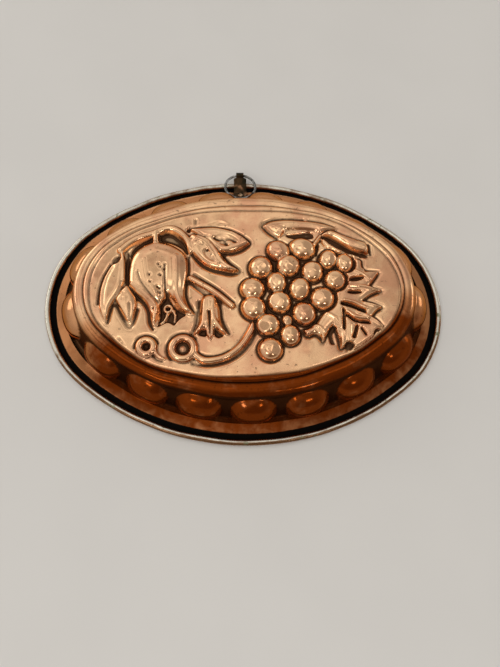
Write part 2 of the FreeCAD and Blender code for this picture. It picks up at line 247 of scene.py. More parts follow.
@dataclass
class Sheet:
    """Heights of the field on a fine raster, which the relief's tools work in order."""

    half_x: float
    half_y: float
    pitch: float = 0.25
    softness: float = 1.7
    # Shares of grime and painted shade that sunk places and chased grooves get.
    sunk_dirt_and_shade: float = 0.9
    raised_wear: float = 0.8
    groove_share: float = 0.85
    most_dirt_and_shade: float = 0.85
    hammer_marks: int = 4
    height: np.ndarray = field(init=False)

    def __post_init__(self) -> None:
        """Lay out the flat sheet."""
        self.xs = np.arange(-self.half_x, self.half_x + self.pitch, self.pitch)
        self.ys = np.arange(-self.half_y, self.half_y + self.pitch, self.pitch)
        self.height = np.zeros((len(self.ys), len(self.xs)))
        # Grime and painted shade in sunk and chased places.
        self.dirt_and_shade = np.zeros(self.height.shape)

    def window(self, path: np.ndarray, margin: float) -> tuple:
        """Part of the raster round a path: its slices and the points in it."""
        low, high = path.min(0) - margin, path.max(0) + margin
        spans = zip(low, high, (self.half_x, self.half_y))
        cols, rows = (slice(max(0, int((first + half) / self.pitch)),
                            max(0, int((last + half) / self.pitch) + 2)) for first, last, half in spans)
        return (rows, cols), *np.meshgrid(self.xs[cols], self.ys[rows])

    @staticmethod
    def distance(path: np.ndarray, x: np.ndarray, y: np.ndarray) -> tuple[np.ndarray, np.ndarray]:
        """Distance of points to a path, and the share of its length where each is nearest."""
        runs = np.hypot(*np.diff(path, axis=0).T)
        before = np.concatenate([[0], np.cumsum(runs)])
        best = np.full(x.shape, 1e9)
        share = np.zeros(x.shape)
        for a, b, run, start in zip(path, path[1:], runs, before):
            if run == 0:
                continue
            t = np.clip(((x - a[0]) * (b[0] - a[0]) + (y - a[1]) * (b[1] - a[1])) / run ** 2, 0, 1)
            away = np.hypot(x - a[0] - t * (b[0] - a[0]), y - a[1] - t * (b[1] - a[1]))
            nearer = away < best
            best = np.where(nearer, away, best)
            share = np.where(nearer, (start + t * run) / before[-1], share)
        return best, share

    @staticmethod
    def inside(path: np.ndarray, x: np.ndarray, y: np.ndarray) -> np.ndarray:
        """True where a point lies in a closed outline."""
        hit = np.zeros(x.shape, bool)
        for a, b in zip(path, np.roll(path, -1, axis=0)):
            if a[1] == b[1]:
                continue
            crosses = (a[1] > y) != (b[1] > y)
            hit ^= crosses & (x < (b[0] - a[0]) * (y - a[1]) / (b[1] - a[1]) + a[0])
        return hit

    def apply(self, where: tuple, cover: np.ndarray, amount: np.ndarray, work: Work) -> None:
        """Work the surface inside a window.

        Args:
            where: The window's slices.
            cover: How fully the tool acts, from 0 to 1.
            amount: The tool's height or depth.
            work: Whether it raises to a height, adds one, or sinks to a depth.
        """
        now = self.height[where]
        if work is Work.RAISE:
            self.height[where] = np.where(cover > 0, np.maximum(now, amount), now)
        elif work is Work.ADD:
            self.height[where] = now + amount * cover
        else:
            self.height[where] = now * (1 - cover) - amount * cover
            # A sunk place gets grime and painted shade.
            self.dirt_and_shade[where] = np.maximum(self.dirt_and_shade[where], cover * np.clip(amount, 0, 1) * self.sunk_dirt_and_shade)
        if work is Work.RAISE:
            self.dirt_and_shade[where] *= 1 - self.raised_wear * smooth_step(cover * amount, 0.6, 1.8)

    @staticmethod
    def line(path: Run | np.ndarray) -> np.ndarray:
        """A path's points; one that is given as a few points is made smooth."""
        return smooth_run(path) if isinstance(path, tuple) else path

    def form(self, path: np.ndarray, rise: float, shoulder: float, work: Work = Work.RAISE,
             crown: float = 0.0) -> None:
        """Raise or sink the area in a closed outline.

        Args:
            path: The outline.
            rise: Height, or depth where it is sunk.
            shoulder: Width of the rounded edge.
            work: What is done.
            crown: Extra height towards the middle of the area.
        """
        where, x, y = self.window(path, 0.5)
        closed = np.vstack([path, path[:1]])
        depth = self.distance(closed, x, y)[0] * np.where(self.inside(path, x, y), 1, -1)
        edge = np.clip(depth / (shoulder * self.softness if work is Work.RAISE else shoulder), 0, 1)
        if work is Work.RAISE:
            body = rise * np.sqrt(1 - (1 - edge) ** 2) + crown * smooth_step(depth, 0, 3 * shoulder)
            self.apply(where, (depth > 0) * 1.0, body, work)
        else:
            self.apply(where, smooth_step(edge, 0, 1), np.full(x.shape, rise), work)

    def stroke(self, path: Run | np.ndarray, width: float, rise: float, work: Work = Work.RAISE,
               end_width: float | None = None) -> None:
        """Raise a round bar, or press a round groove, along a path.

        Args:
            path: The middle line.
            width: Width at its start.
            rise: Height, or depth where it is sunk.
            work: What is done.
            end_width: Width at its end, the same as at its start unless given.
        """
        path = self.line(path)
        where, x, y = self.window(path, width + 0.5)
        away, share = self.distance(path, x, y)
        half = (width + ((end_width or width) - width) * share) / 2
        across = np.clip(away / half, 0, 1)
        if work is Work.RAISE:
            bar = rise * np.sqrt(1 - across ** 2) * (0.35 + 0.65 * half * 2 / width)
            self.apply(where, (across < 1) * 1.0, bar, work)
        elif work is Work.ADD:
            self.apply(where, (1 - across ** 2) ** 2, np.full(x.shape, rise), work)
        else:
            self.apply(where, smooth_step(1 - across, 0, 0.7), np.full(x.shape, rise), work)

    def press(self, path: Run | np.ndarray, width: float, depth: float) -> None:
        """Chase a groove into whatever is there, without changing it further off."""
        path = self.line(path)
        where, x, y = self.window(path, width * 1.5)
        away = self.distance(path, x, y)[0]
        bell = np.exp(-(away / (width / 2)) ** 2)
        self.height[where] -= depth * bell * self.groove_share
        # A chased groove gets grime and painted shade.
        dirt_and_shade = bell * min(self.most_dirt_and_shade, 0.25 + depth * 0.4)
        self.dirt_and_shade[where] = np.maximum(self.dirt_and_shade[where], dirt_and_shade)

    def dots(self, places: tuple[tuple[float, float, float], ...], depth: float) -> None:
        """Punch round dots: x, y and radius of each."""
        for x, y, radius in places:
            self.press(np.array([(x, y), (x + 0.01, y)]), radius * 2, depth)

    def ball(self, x: float, y: float, radius: float, rise: float, chance: np.random.Generator) -> None:
        """Raise one round bulge, a little out of round and flattened by the hammer.

        Args:
            x: Its centre.
            y: Its centre.
            radius: Its radius where it meets the field.
            rise: Its height.
            chance: Where its unevenness comes from.
        """
        where, px, py = self.window(np.array([(x - radius, y - radius), (x + radius, y + radius)]), 1)
        turn, stretch = chance.uniform(0, math.pi), chance.uniform(1.0, 1.12)
        along = ((px - x) * math.cos(turn) + (py - y) * math.sin(turn)) / stretch
        across = ((py - y) * math.cos(turn) - (px - x) * math.sin(turn)) * math.sqrt(stretch)
        share = np.hypot(along, across) / radius
        cap = rise * np.clip(1 - share ** 2.2, 0, 1) ** 0.6
        for _ in range(self.hammer_marks):
            way, lean = chance.uniform(0, 2 * math.pi), chance.uniform(0.1, 0.65)
            reach = ((px - x) * math.cos(way) + (py - y) * math.sin(way)) / radius
            flat = rise * (chance.uniform(0.93, 1.03) - lean * (reach - 0.1))
            over = np.maximum(cap - flat, 0)
            cap = cap - over * 0.85
        self.apply(where, (share < 1) * 1.0, cap, Work.RAISE)

    def blurred(self, values: np.ndarray, spread: float) -> np.ndarray:
        """Values smoothed with a bell curve of the given spread in millimetres."""
        reach = int(math.ceil(3 * spread / self.pitch))
        steps = np.arange(-reach, reach + 1) * self.pitch
        bell = np.exp(-(steps / spread) ** 2 / 2)
        bell /= bell.sum()
        padded = np.pad(values, reach, mode="edge")
        along = np.apply_along_axis(lambda row: np.convolve(row, bell, "valid"), 1, padded)
        return np.apply_along_axis(lambda col: np.convolve(col, bell, "valid"), 0, along)

    def underside(self, thickness: float) -> np.ndarray:
        """Height of the far side of the sheet, one thickness below the surface all over."""
        reach = int(thickness / self.pitch)
        low = np.full(self.height.shape, 1e9)
        for dy in range(-reach, reach + 1):
            for dx in range(-reach, reach + 1):
                square = thickness ** 2 - (dx ** 2 + dy ** 2) * self.pitch ** 2
                if square >= 0:
                    moved = np.roll(self.height, (dy, dx), (0, 1))
                    low = np.minimum(low, moved - math.sqrt(square))
        return low

    def at(self, values: np.ndarray, x: np.ndarray, y: np.ndarray) -> np.ndarray:
        """Values of a raster at any points, with straight steps between its own."""
        u = np.clip((x + self.half_x) / self.pitch, 0, len(self.xs) - 1.001)
        v = np.clip((y + self.half_y) / self.pitch, 0, len(self.ys) - 1.001)
        i, j = u.astype(int), v.astype(int)
        fu, fv = u - i, v - j
        low = values[j, i] * (1 - fu) + values[j, i + 1] * fu
        high = values[j + 1, i] * (1 - fu) + values[j + 1, i + 1] * fu
        return low * (1 - fv) + high * fv


@dataclass
class Relief:
    """Flowers, leaves, scrolls, grapes and vine leaf raised from the field."""

    sheet: Sheet
    grape_bulge: float = 0.82
    seed: int = 5
    grapes: tuple[tuple[float, float, float], ...] = (
        (16.3, 21.2, 6.2), (28.9, 23.0, 6.6), (6.8, 11.4, 6.6), (21.3, 12.8, 6.5),
        (33.8, 9.5, 6.2), (42.4, 16.8, 5.3), (51.0, 15.0, 5.1), (45.4, 5.1, 5.8),
        (2.4, -0.8, 6.5), (14.8, 3.0, 5.8), (26.8, -0.2, 6.1), (38.3, -5.6, 6.5),
        (2.9, -11.2, 6.6), (16.3, -8.0, 6.4), (28.7, -13.8, 6.4), (10.2, -20.2, 6.2),
        (21.2, -25.5, 5.6), (11.2, -33.1, 6.3), (20.0, -17.4, 3.0),
    )

    def raise_all(self) -> None:
        """Work every motif, from the ground upwards."""
        self.ground()
        self.tulip()
        self.side_leaves()
        self.upper_leaves()
        self.bell_flower()
        self.scrolls()
        self.tendril()
        self.vine_leaf()
        self.cut_branch()
        self.bunch()

    def ground(self) -> None:
        """Shallow hollows in the field between the motifs."""
        self.sheet.form(outline(((-16, 35.6), (-9, 36.8)), ((-15, 39.8), (-23, 36.5))), 0.4, 1.6,
            Work.SINK)
        self.sheet.press(((-64.3, -28.3), (-62.8, -30), (-61.4, -31.6)), 1.0, 0.6)
        self.sheet.press(((-27.9, 39.2), (-27.9, 37.2)), 1.8, 0.8)

    def tulip(self) -> None:
        """Large tulip with an arched stalk, three petals and an open throat."""
        s = self.sheet
        s.press(((-62.3, 18), (-62.4, 10), (-62.2, 3), (-60.4, -2), (-57, -5.8), (-52.6, -9.6),
            (-50.2, -14), (-49.2, -19.5), (-47.2, -23)), 2.0, 1.2)
        s.press(((-30.9, 17), (-30.6, 8), (-31.4, -3), (-30, -9), (-27.2, -13.6)), 1.8, 0.9)
        s.form(outline(((-61.4, 8), (-60.6, 15), (-57.6, 20.4), (-53, 24), (-49, 26)), ((-44, 24.8),
            (-39, 22.8), (-34.6, 19.6), (-32, 15), (-31.5, 7), (-32.4, -3), (-31, -9), (-27.8, -14.8)),
            ((-32, -14), (-35.5, -11.5), (-38.5, -7), (-40.8, -3.6)), ((-41.8, -6.5), (-43.2, -8.8)),
            ((-44.2, -11), (-44.3, -15), (-46.8, -22.4)), ((-48.6, -18), (-49.4, -13.5), (-52.5, -8.2),
            (-57.5, -4), (-61, -0.5))), 3.2, 4.2, crown=0.5)
        s.press(((-56.5, 7), (-54, 1), (-49.8, -4.5), (-45.2, -9.2)), 1.3, 0.9)
        s.press(((-42.9, 11), (-42.5, 3), (-42, -3), (-41.2, -6)), 1.3, 1.1)
        s.stroke(((-37.4, 16), (-36.6, 4), (-35.9, -5), (-32.8, -11.4), (-29, -14.5)), 4.6, 0.8, Work.ADD)
        s.stroke(((-59.4, 0.6), (-54, -3.4), (-49.3, -7.6), (-46.3, -11.6), (-46.5, -18)), 2.4, 0.7,
            Work.ADD)
        s.stroke(((-53.5, 14), (-51.5, 4), (-47.4, -3.5), (-43.6, -8)), 3.0, 0.4, Work.ADD)
        s.dots(((-46, 11.2, 0.6), (-45, 9.8, 0.6), (-44.8, 5.2, 0.7), (-50.3, 5.4, 0.6), (-49.8, 1.3, 0.6),
            (-46.1, -1.2, 0.7), (-45, -2, 0.7), (-45.9, -4, 0.5), (-44.5, -4.3, 0.7), (-44.5, -6, 0.6),
            (-43.4, 8.4, 0.5), (-47.6, -12.4, 0.7)), 1.5)
        s.stroke(((-66.5, 19.5), (-62.5, 23.6), (-57, 27.4), (-50, 30.3), (-44, 33), (-39.5, 32.7),
            (-35, 29.9), (-31.8, 25.5), (-30.2, 20.4)), 4.0, 2.7)
        s.stroke(((-48.9, 31), (-48.7, 26)), 3.6, 3.0)
        s.form(outline(((-60.4, 21.4), (-56, 25.2), (-50.6, 28)), ((-50.8, 26), (-55, 23.2), (-59, 19),
            (-60.6, 14.6)), ((-62.2, 17),)), 1.2, 0.7, Work.SINK)
        s.form(outline(((-43.6, 30.9), (-40, 30.4), (-36.5, 28), (-33, 24), (-30.8, 18.6)), ((-32.2, 18.4),
            (-34.8, 21.4), (-39, 24), (-43.6, 25.6), (-46.4, 26.2)), ((-46.8, 29.2),)), 1.4, 0.8,
            Work.SINK)
        s.form(outline(((-42.9, -7.8), (-41.2, -4.4)), ((-39.2, -7.4), (-36.2, -11.8), (-30.6, -15.4)),
            ((-34.2, -17.8), (-36.8, -21.4)), ((-40, -19.6), (-42.8, -20.8), (-45.8, -22.4)),
            ((-44.2, -16), (-44.4, -9.8))), 1.7, 0.8, Work.SINK)
        s.stroke(circle(-40.2, -12.4, 1.8), 1.4, 1.3)
        s.stroke(((-37.4, -13.6), (-36.6, -16), (-36.9, -19)), 1.8, 1.2, end_width=0.6)
        s.stroke(((-40.4, -15.4), (-41.4, -18), (-43.6, -20)), 1.6, 1.0, end_width=0.6)

    def side_leaves(self) -> None:
        """Long leaf and small folded leaf at the left of the tulip."""
        s = self.sheet
        s.press(((-71.4, 12), (-74.4, 5), (-75.8, -2), (-76, -10)), 1.6, 0.9)
        s.press(((-70.2, -20), (-68.6, -12), (-66.8, -11.5), (-63.6, -17), (-59.6, -22.4), (-57.2, -20),
            (-55.6, -13)), 2.2, 0.9)
        s.form(outline(((-70.6, 11.4), (-73.2, 6), (-74.8, 0), (-75.2, -6), (-74.4, -13), (-71.2, -20.4)),
            ((-70, -14.5), (-68.2, -9.5), (-65.2, -3.5), (-63.7, 2), (-63.5, 9), (-64.4, 14),
            (-66.6, 16.6))), 2.2, 2.0)
        s.press(((-69.6, 10), (-71.8, 4), (-73, -3), (-72.8, -10), (-71.6, -15.6)), 1.1, 0.8)
        s.stroke(((-66.6, 20.4), (-65.2, 16), (-64.3, 9), (-63.9, 3)), 1.8, 2.2)
        s.form(outline(((-70.6, 15), (-67.6, 17), (-66, 15.4)), ((-67.2, 12.4), (-71.2, 11.2))), 0.8, 0.7,
            Work.SINK)
        s.form(outline(((-59.5, -2.5), (-57.2, -6), (-56.4, -10), (-57, -15), (-58.6, -20.8)),
            ((-61.8, -17.5), (-65.2, -12), (-67, -7.5), (-65.2, -3.5), (-62, 0.8))), 2.2, 1.8, crown=0.3)
        s.press(((-59.8, -10.2), (-59.3, -14), (-59, -19.4)), 1.1, 1.0)
        s.stroke(((-66.2, -7.8), (-63, -13), (-59.8, -18.6)), 1.6, 0.4, Work.ADD)
        s.dots(((-63.2, -4, 0.6), (-63, -7.6, 0.6), (-62, -3, 0.4), (-61.9, -5.2, 0.4)), 0.5)

    def upper_leaves(self) -> None:
        """Two overlapping leaves at the right of the arched stalk, and the bud's straight stalk."""
        s = self.sheet
        s.press(((-31, 34.2), (-26, 35), (-18, 35.6), (-11, 34.4), (-6.5, 32.6), (-2, 30), (1.6, 26.4),
            (-1.6, 22.4), (-6, 20), (-12, 19)), 1.8, 0.8)
        s.press(((-30.8, 20), (-28.4, 17), (-24.6, 12.8), (-19.4, 9.8), (-14, 8.2), (-8.4, 7.4), (-4, 9.6),
            (-9.4, 14.6), (-12.6, 18.4)), 2.0, 0.9)
        s.form(outline(((-26, 34.2), (-18, 34.9), (-11.5, 33.7), (-7, 32), (-2.5, 29.3), (1, 25.7)),
            ((-2.5, 22.9), (-7, 20.7), (-11, 19.8), (-15, 20.2)), ((-19, 24), (-24, 28), (-31.5, 33.3))),
            2.4, 1.6, crown=0.2)
        s.form(outline(((-13, 31), (-8, 29.8), (-3.2, 26.2)), ((-7.6, 23.6), (-12.6, 22), (-16.6, 23.6)),
            ((-19, 26.6), (-20.5, 29))), -1.8, 2.0, Work.SINK)
        s.press(((-18, 27.7), (-15, 26.6), (-13, 26.7), (-11, 24.2)), 1.6, 1.1)
        s.press(((-11.4, 26.8), (-9.4, 27.1), (-6.4, 25.6)), 1.3, 1.0)
        s.press(((-14.4, 25.2), (-10.8, 23.8)), 1.0, 0.7)
        s.stroke(((-9, 31.8), (-4, 28.9), (0, 25.9)), 1.8, 0.5, Work.ADD)
        s.form(outline(((-29.6, 30.2), (-24.5, 29), (-19.6, 26.4), (-16.2, 22.2), (-13.2, 17.8),
            (-10, 13.6), (-4.8, 10)), ((-8.5, 8.5), (-14, 9.5), (-19.5, 11), (-24.5, 14), (-28.4, 18),
            (-30.6, 22.5), (-31.5, 27.5))), 2.9, 1.8, crown=0.2)
        s.form(outline(((-20.8, 21), (-18.2, 17), (-15.4, 13.2)), ((-19, 13.4), (-22.8, 16.2),
            (-24.4, 20.4))), -2.1, 1.2, Work.SINK)
        s.stroke(((-26.6, 29), (-21.4, 26.2), (-17, 20.5), (-13.8, 14.5), (-8.6, 10.4)), 1.7, 0.8,
            Work.ADD)
        s.stroke(((-28, 27.4), (-22.9, 24.6), (-18.9, 19.2), (-15.6, 13.7), (-10.4, 9.9)), 1.5, 0.7,
            Work.ADD)
        s.dots(((-29.7, 27.2, 0.9), (-27.4, 25.3, 0.6), (-27.7, 22.9, 0.5), (-21.2, 20.4, 0.8),
            (-18.7, 17.9, 0.8)), 0.9)
        for mark in (((-25.2, 23.5), (-23.6, 23.2)), ((-23, 28.8), (-20.6, 28.9)), ((-17, 15.8),
                (-15.4, 13.8))):
            s.press(mark, 0.9, 0.6)
        s.dots(((-31.6, 33, 1.1),), 2.6)
        s.press(((-28, 7.4), (-21, 3), (-14, -1.8), (-7, -8)), 1.6, 0.8)
        s.press(((-30, 1.8), (-25, -1.8), (-21.5, -4.6)), 1.8, 0.8)
        s.stroke(((-29.8, 4.6), (-18.5, -1.6), (-7.8, -10)), 3.4, 2.2)

    def bell_flower(self) -> None:
        """Small hanging bell with three petals."""
        s = self.sheet
        s.press(((-25.2, -8), (-25.8, -15), (-26.2, -20), (-28.4, -26.4)), 1.8, 0.8)
        s.press(((-14, -8), (-13, -13), (-12.2, -18), (-9, -25)), 1.8, 0.8)
        s.form(outline(((-23, -5.6), (-24.2, -9), (-24.3, -15), (-24.7, -20), (-27.2, -26.2)),
            ((-24, -24.4), (-21.4, -22.8)), ((-20.6, -25.5), (-18.6, -29)), ((-17.2, -25.5),
            (-16.4, -22.4)), ((-13.5, -24.6), (-9.6, -26.2)), ((-12.2, -21.5), (-13.6, -17.5),
            (-14.5, -11), (-16, -6.4), (-17.6, -4.2)), ((-20.6, -4.2),)), 3.0, 2.8, crown=0.2)
        s.stroke(((-22.2, -7.5), (-22.5, -15), (-22.8, -20), (-25.6, -24.8)), 2.0, 0.5, Work.ADD)
        s.stroke(((-17.4, -7), (-17.4, -14), (-16.2, -19), (-12, -24.2)), 2.6, 0.7, Work.ADD)
        s.press(((-19.6, -14), (-19.2, -18), (-18.8, -25)), 1.3, 2.2)
        s.press(((-20.4, -8), (-20.2, -14)), 1.0, 0.4)
        s.form(outline(((-22.6, -23.4), (-20.7, -24)), ((-21, -26.6), (-25.4, -25.8))), 1.3, 0.5,
            Work.SINK)
        s.form(outline(((-14, -24.6), (-11.4, -25.8)), ((-14.4, -27.2), (-16.8, -26)), ((-16.2, -22.8),)),
            1.3, 0.5, Work.SINK)

    def scrolls(self) -> None:
        """Small curl, large ring and the long stem that leaves it."""
        s = self.sheet
        turn = circle(-50, -32.4, 5.9, 72)
        s.press(turn[4:38], 1.6, 0.9)
        s.stroke(circle(-50, -32.4, 3.6), 3.8, 2.2)
        s.dots(((-50, -32.2, 1.6),), 1.4)
        s.stroke(((-46.6, -31.6), (-45.6, -34.6), (-43.8, -37), (-40.8, -38.6)), 2.8, 1.8, end_width=1.2)
        s.press(((-47, -36), (-44.8, -38.6), (-41.6, -39.8)), 1.4, 0.6)
        ring = circle(-32, -33.2, 7.9, 72)
        s.press(ring[8:46], 1.6, 0.8)
        s.press(((-24, -35.8), (-20, -36.8), (-14, -36.4), (-8.6, -34)), 1.6, 0.7)
        s.press(((-27, -41), (-20, -41.8), (-11, -40.2), (-4, -36.4), (1.4, -30.4), (4.6, -24)), 1.8, 0.8)
        s.stroke(circle(-32, -33.2, 5.3), 4.2, 2.7)
        s.stroke(((-26.9, -33.6), (-25.4, -36.6), (-21.6, -38.9), (-17, -38.9), (-11, -37.2),
            (-5.5, -33.5), (-1.5, -28.8), (1.2, -24), (3.2, -19.5)), 3.6, 2.3)
        s.form(circle(-32, -33.2, 3.3)[:-1], -0.1, 0.8, Work.SINK)
        s.press(circle(-32, -33.2, 2.0), 2.6, 0.9)

    def tendril(self) -> None:
        """Long leaf along the top with a folded tip, and the slot under it."""
        s = self.sheet
        s.press(((7.6, 36.6), (10, 39.2), (16, 41), (23, 41.6), (30, 41.4)), 1.8, 0.7)
        s.press(((33, 41), (40, 39.6), (47, 37)), 1.6, 0.5)
        s.press(((8, 35.6), (11, 32), (15.6, 28.8)), 1.8, 0.7)
        s.form(outline(((12, 39), (18, 40.2), (26, 40.4), (34, 39.8), (42, 38.2), (49, 35.6)), ((44, 33.8),
            (38.5, 32.6), (35.6, 34.2), (28, 34.8), (20.5, 34.2)), ((18.8, 31), (16.8, 29.4)), ((12, 32.2),
            (8.4, 36.4))), 2.0, 2.2, crown=0.2)
        s.form(outline(((16.4, 36.6), (19.6, 35.2)), ((18.8, 31.8), (17, 30.4)), ((14.6, 33),
            (12.8, 35.6))), 2.9, 1.4)
        s.dots(((16.5, 33.7, 0.8),), 0.7)
        s.form(outline(((26, 33), (33.2, 33.8), (36, 32)), ((34.8, 29.6), (29, 29.2), (22, 29.8),
            (19.6, 32))), 1.4, 0.8, Work.SINK)

    def vine_leaf(self) -> None:
        """Toothed vine leaf with pierced-looking slots."""
        s = self.sheet
        edge = outline(((57, 18.2), (60.4, 17)), ((60.4, 13.4), (62, 10.6)), ((65.5, 10.2), (69.2, 9.8)),
            ((66.6, 6), (64, 2.6)), ((66.5, 0.8), (69.8, -0.4)), ((64, -3), (59.6, -6.2)), ((64.5, -7.4),
            (69.4, -9.6)), ((66, -12), (64, -14.6)), ((66.8, -16.8), (69.4, -20.4)), ((67.8, -24.4),
            (65, -28), (60.4, -31)), ((59, -33.6), (55, -34.2), (50.6, -33.6)), ((49, -31.4),
            (46.8, -32.4)), ((45.4, -26), (43.2, -20.6)), ((41, -23.4), (38.2, -29)), ((36.8, -26.4),
            (34, -24.8), (31.2, -25.8)), ((29.2, -25.2), (27.8, -22.6)), ((31, -21.4), (34.6, -19)),
            ((38, -14), (43, -8), (46, 0), (49, 9), (53, 17.6)))
        closed = np.vstack([edge, edge[:1]])
        s.press(closed, 2.6, 0.9)
        s.form(edge, 2.3, 1.5, crown=0.3)
        for ridge in (((61, 11.6), (65, 10), (68.8, 9.6)), ((60, -7.6), (64.5, -8.6), (68.8, -9.6)),
                ((56, -13.2), (60, -14.6), (64, -16.8), (68.8, -20)), ((51, 1.4), (59, 1.4), (69, -0.4)),
                ((46.6, -17), (47.9, -24), (47, -31.4)), ((50.4, -12.6), (55, -15.4), (61, -16.2)),
                ((49, -6.6), (55, -7.8), (60.5, -10.6)), ((40, -14), (44, -16.6), (46.8, -21)),
                ((51.6, -20), (51, -26), (52, -28)), ((33, -20), (36.6, -22), (38, -27)), ((56, 10.4),
                (60, 8.2), (63.4, 5))):
            s.stroke(ridge, 2.0, 0.95, Work.ADD)
        s.form(circle(0, 0, 1)[:-1] @ np.array([(4.4, 0.9), (-0.25, 1.5)]) + (56.5, 5.7), 0.2, 0.8,
            Work.SINK)
        s.form(circle(0, 0, 1)[:-1] @ np.array([(4.3, 0.1), (0, 1.2)]) + (55.2, -1.8), 0.4, 0.7, Work.SINK)
        for slot, width, depth in ((((48.4, -8.4), (54, -9.8), (59.6, -12.4)), 2.6, 0.6), (((50.2, -14.6),
                (54.8, -17.7), (61.6, -18.5)), 2.0, 0.4), (((48.7, -11.5), (48.9, -17), (48.4, -22)), 1.7,
                0.2), (((55.3, -20.4), (54.4, -23), (53.4, -26)), 2.3, 0.0), (((57.5, -21.6),
                (59.4, -24.8)), 1.8, 0.0), (((64.2, -24.4), (65.4, -22.4), (67.4, -22)), 2.2, 0.4)):
            s.stroke(slot, width, depth, Work.SINK)
        s.form(circle(51, -30.9, 2.5)[:-1], 0.8, 0.7, Work.SINK)
        s.dots(((57.3, -31.7, 1.2),), 2.0)
        s.form(outline(((41.2, -22.4), (43.2, -20.4), (45.2, -21.8)), ((43.6, -25), (44.6, -30.6)),
            ((41.6, -30), (40.4, -26))), 1.2, 0.8, Work.SINK)

    def cut_branch(self) -> None:
        """Cut branch above the vine leaf, with the thinner one below it."""
        s = self.sheet
        s.press(((65.4, 26.6), (65.8, 20.6)), 2.0, 0.9)
        s.form(outline(((39.8, 25.4), (43.4, 21.8), (48.4, 19.2), (54, 17.8), (60.4, 18.6)), ((55, 21),
            (48, 24), (42.8, 28), (39, 29.4))), 1.9, 1.0)
        s.form(outline(((44, 34), (50, 32), (57, 29.4), (63.2, 27.2)), ((64.6, 24), (63.8, 20.4)),
            ((58, 21.8), (52, 24.6), (46, 28.2), (39.4, 31.4))), 3.7, 1.5, crown=0.4)
        s.form(outline(((45, 27.4), (50, 24.6), (56, 21.6), (62.4, 19.6)), ((56, 20), (49, 22.4),
            (43.6, 25.4), (40.6, 28.8))), 1.0, 0.6, Work.SINK)
        s.press(((40.8, 29.8), (46, 27), (52, 23.4), (58, 20.7), (63.6, 19.4)), 1.8, 0.9)
        s.press(((41, 34), (47, 34.4), (54, 32), (63.4, 28.6)), 1.4, 0.5)
        for shift in (-1.0, 0.4, 1.8):
            s.press(((45, 30.6 + shift), (54, 27.1 + shift), (63.4, 23.2 + shift)), 0.9, 0.35)
        for x, y in ((50, 32.4), (52.6, 31.4), (55.2, 30.5), (57.8, 29.6)):
            s.press(((x, y), (x + 0.6, y - 1.8)), 1.0, 0.6)

    def bunch(self) -> None:
        """Bunch of grapes over its sunk bed, and the stalk between two of them."""
        s = self.sheet
        for x, y, radius in self.grapes:
            where, px, py = s.window(np.array([(x - radius, y - radius), (x + radius, y + radius)]), 3)
            away = np.hypot(px - x, py - y) - radius
            s.apply(where, 1 - smooth_step(away, 0, 1.6), np.full(px.shape, 0.6), Work.SINK)
        s.stroke(((38.8, 30.4), (36.6, 27.4), (35, 24.5), (34.6, 20)), 2.0, 2.6)
        s.press(((37.3, 25.4), (36.7, 22.5), (36, 20)), 1.5, 1.6)
        chance = np.random.default_rng(self.seed)
        for x, y, radius in self.grapes:
            s.ball(x, y, radius, radius * self.grape_bulge, chance)


class Term:
    """Output of a node that takes plain arithmetic signs; each sign adds a maths node."""

    def __init__(self, graph: "Graph", socket: bpy.types.NodeSocket) -> None:
        """Keep the output and the graph that it belongs to."""
        self.graph = graph
        self.socket = socket

    def __add__(self, other: object) -> "Term":
        """Sum of the two."""
        return self.graph.math("ADD", self, other)

    def __sub__(self, other: object) -> "Term":
        """This less the other."""
        return self.graph.math("SUBTRACT", self, other)

    def __rsub__(self, other: float) -> "Term":
        """A number less this."""
        return self.graph.math("SUBTRACT", other, self)

    def __mul__(self, other: object) -> "Term":
        """Product of the two."""
        return self.graph.math("MULTIPLY", self, other)

    def __truediv__(self, other: object) -> "Term":
        """This divided by the other."""
        return self.graph.math("DIVIDE", self, other)

    def __pow__(self, power: object) -> "Term":
        """This raised to a power."""
        return self.graph.math("POWER", self, power)


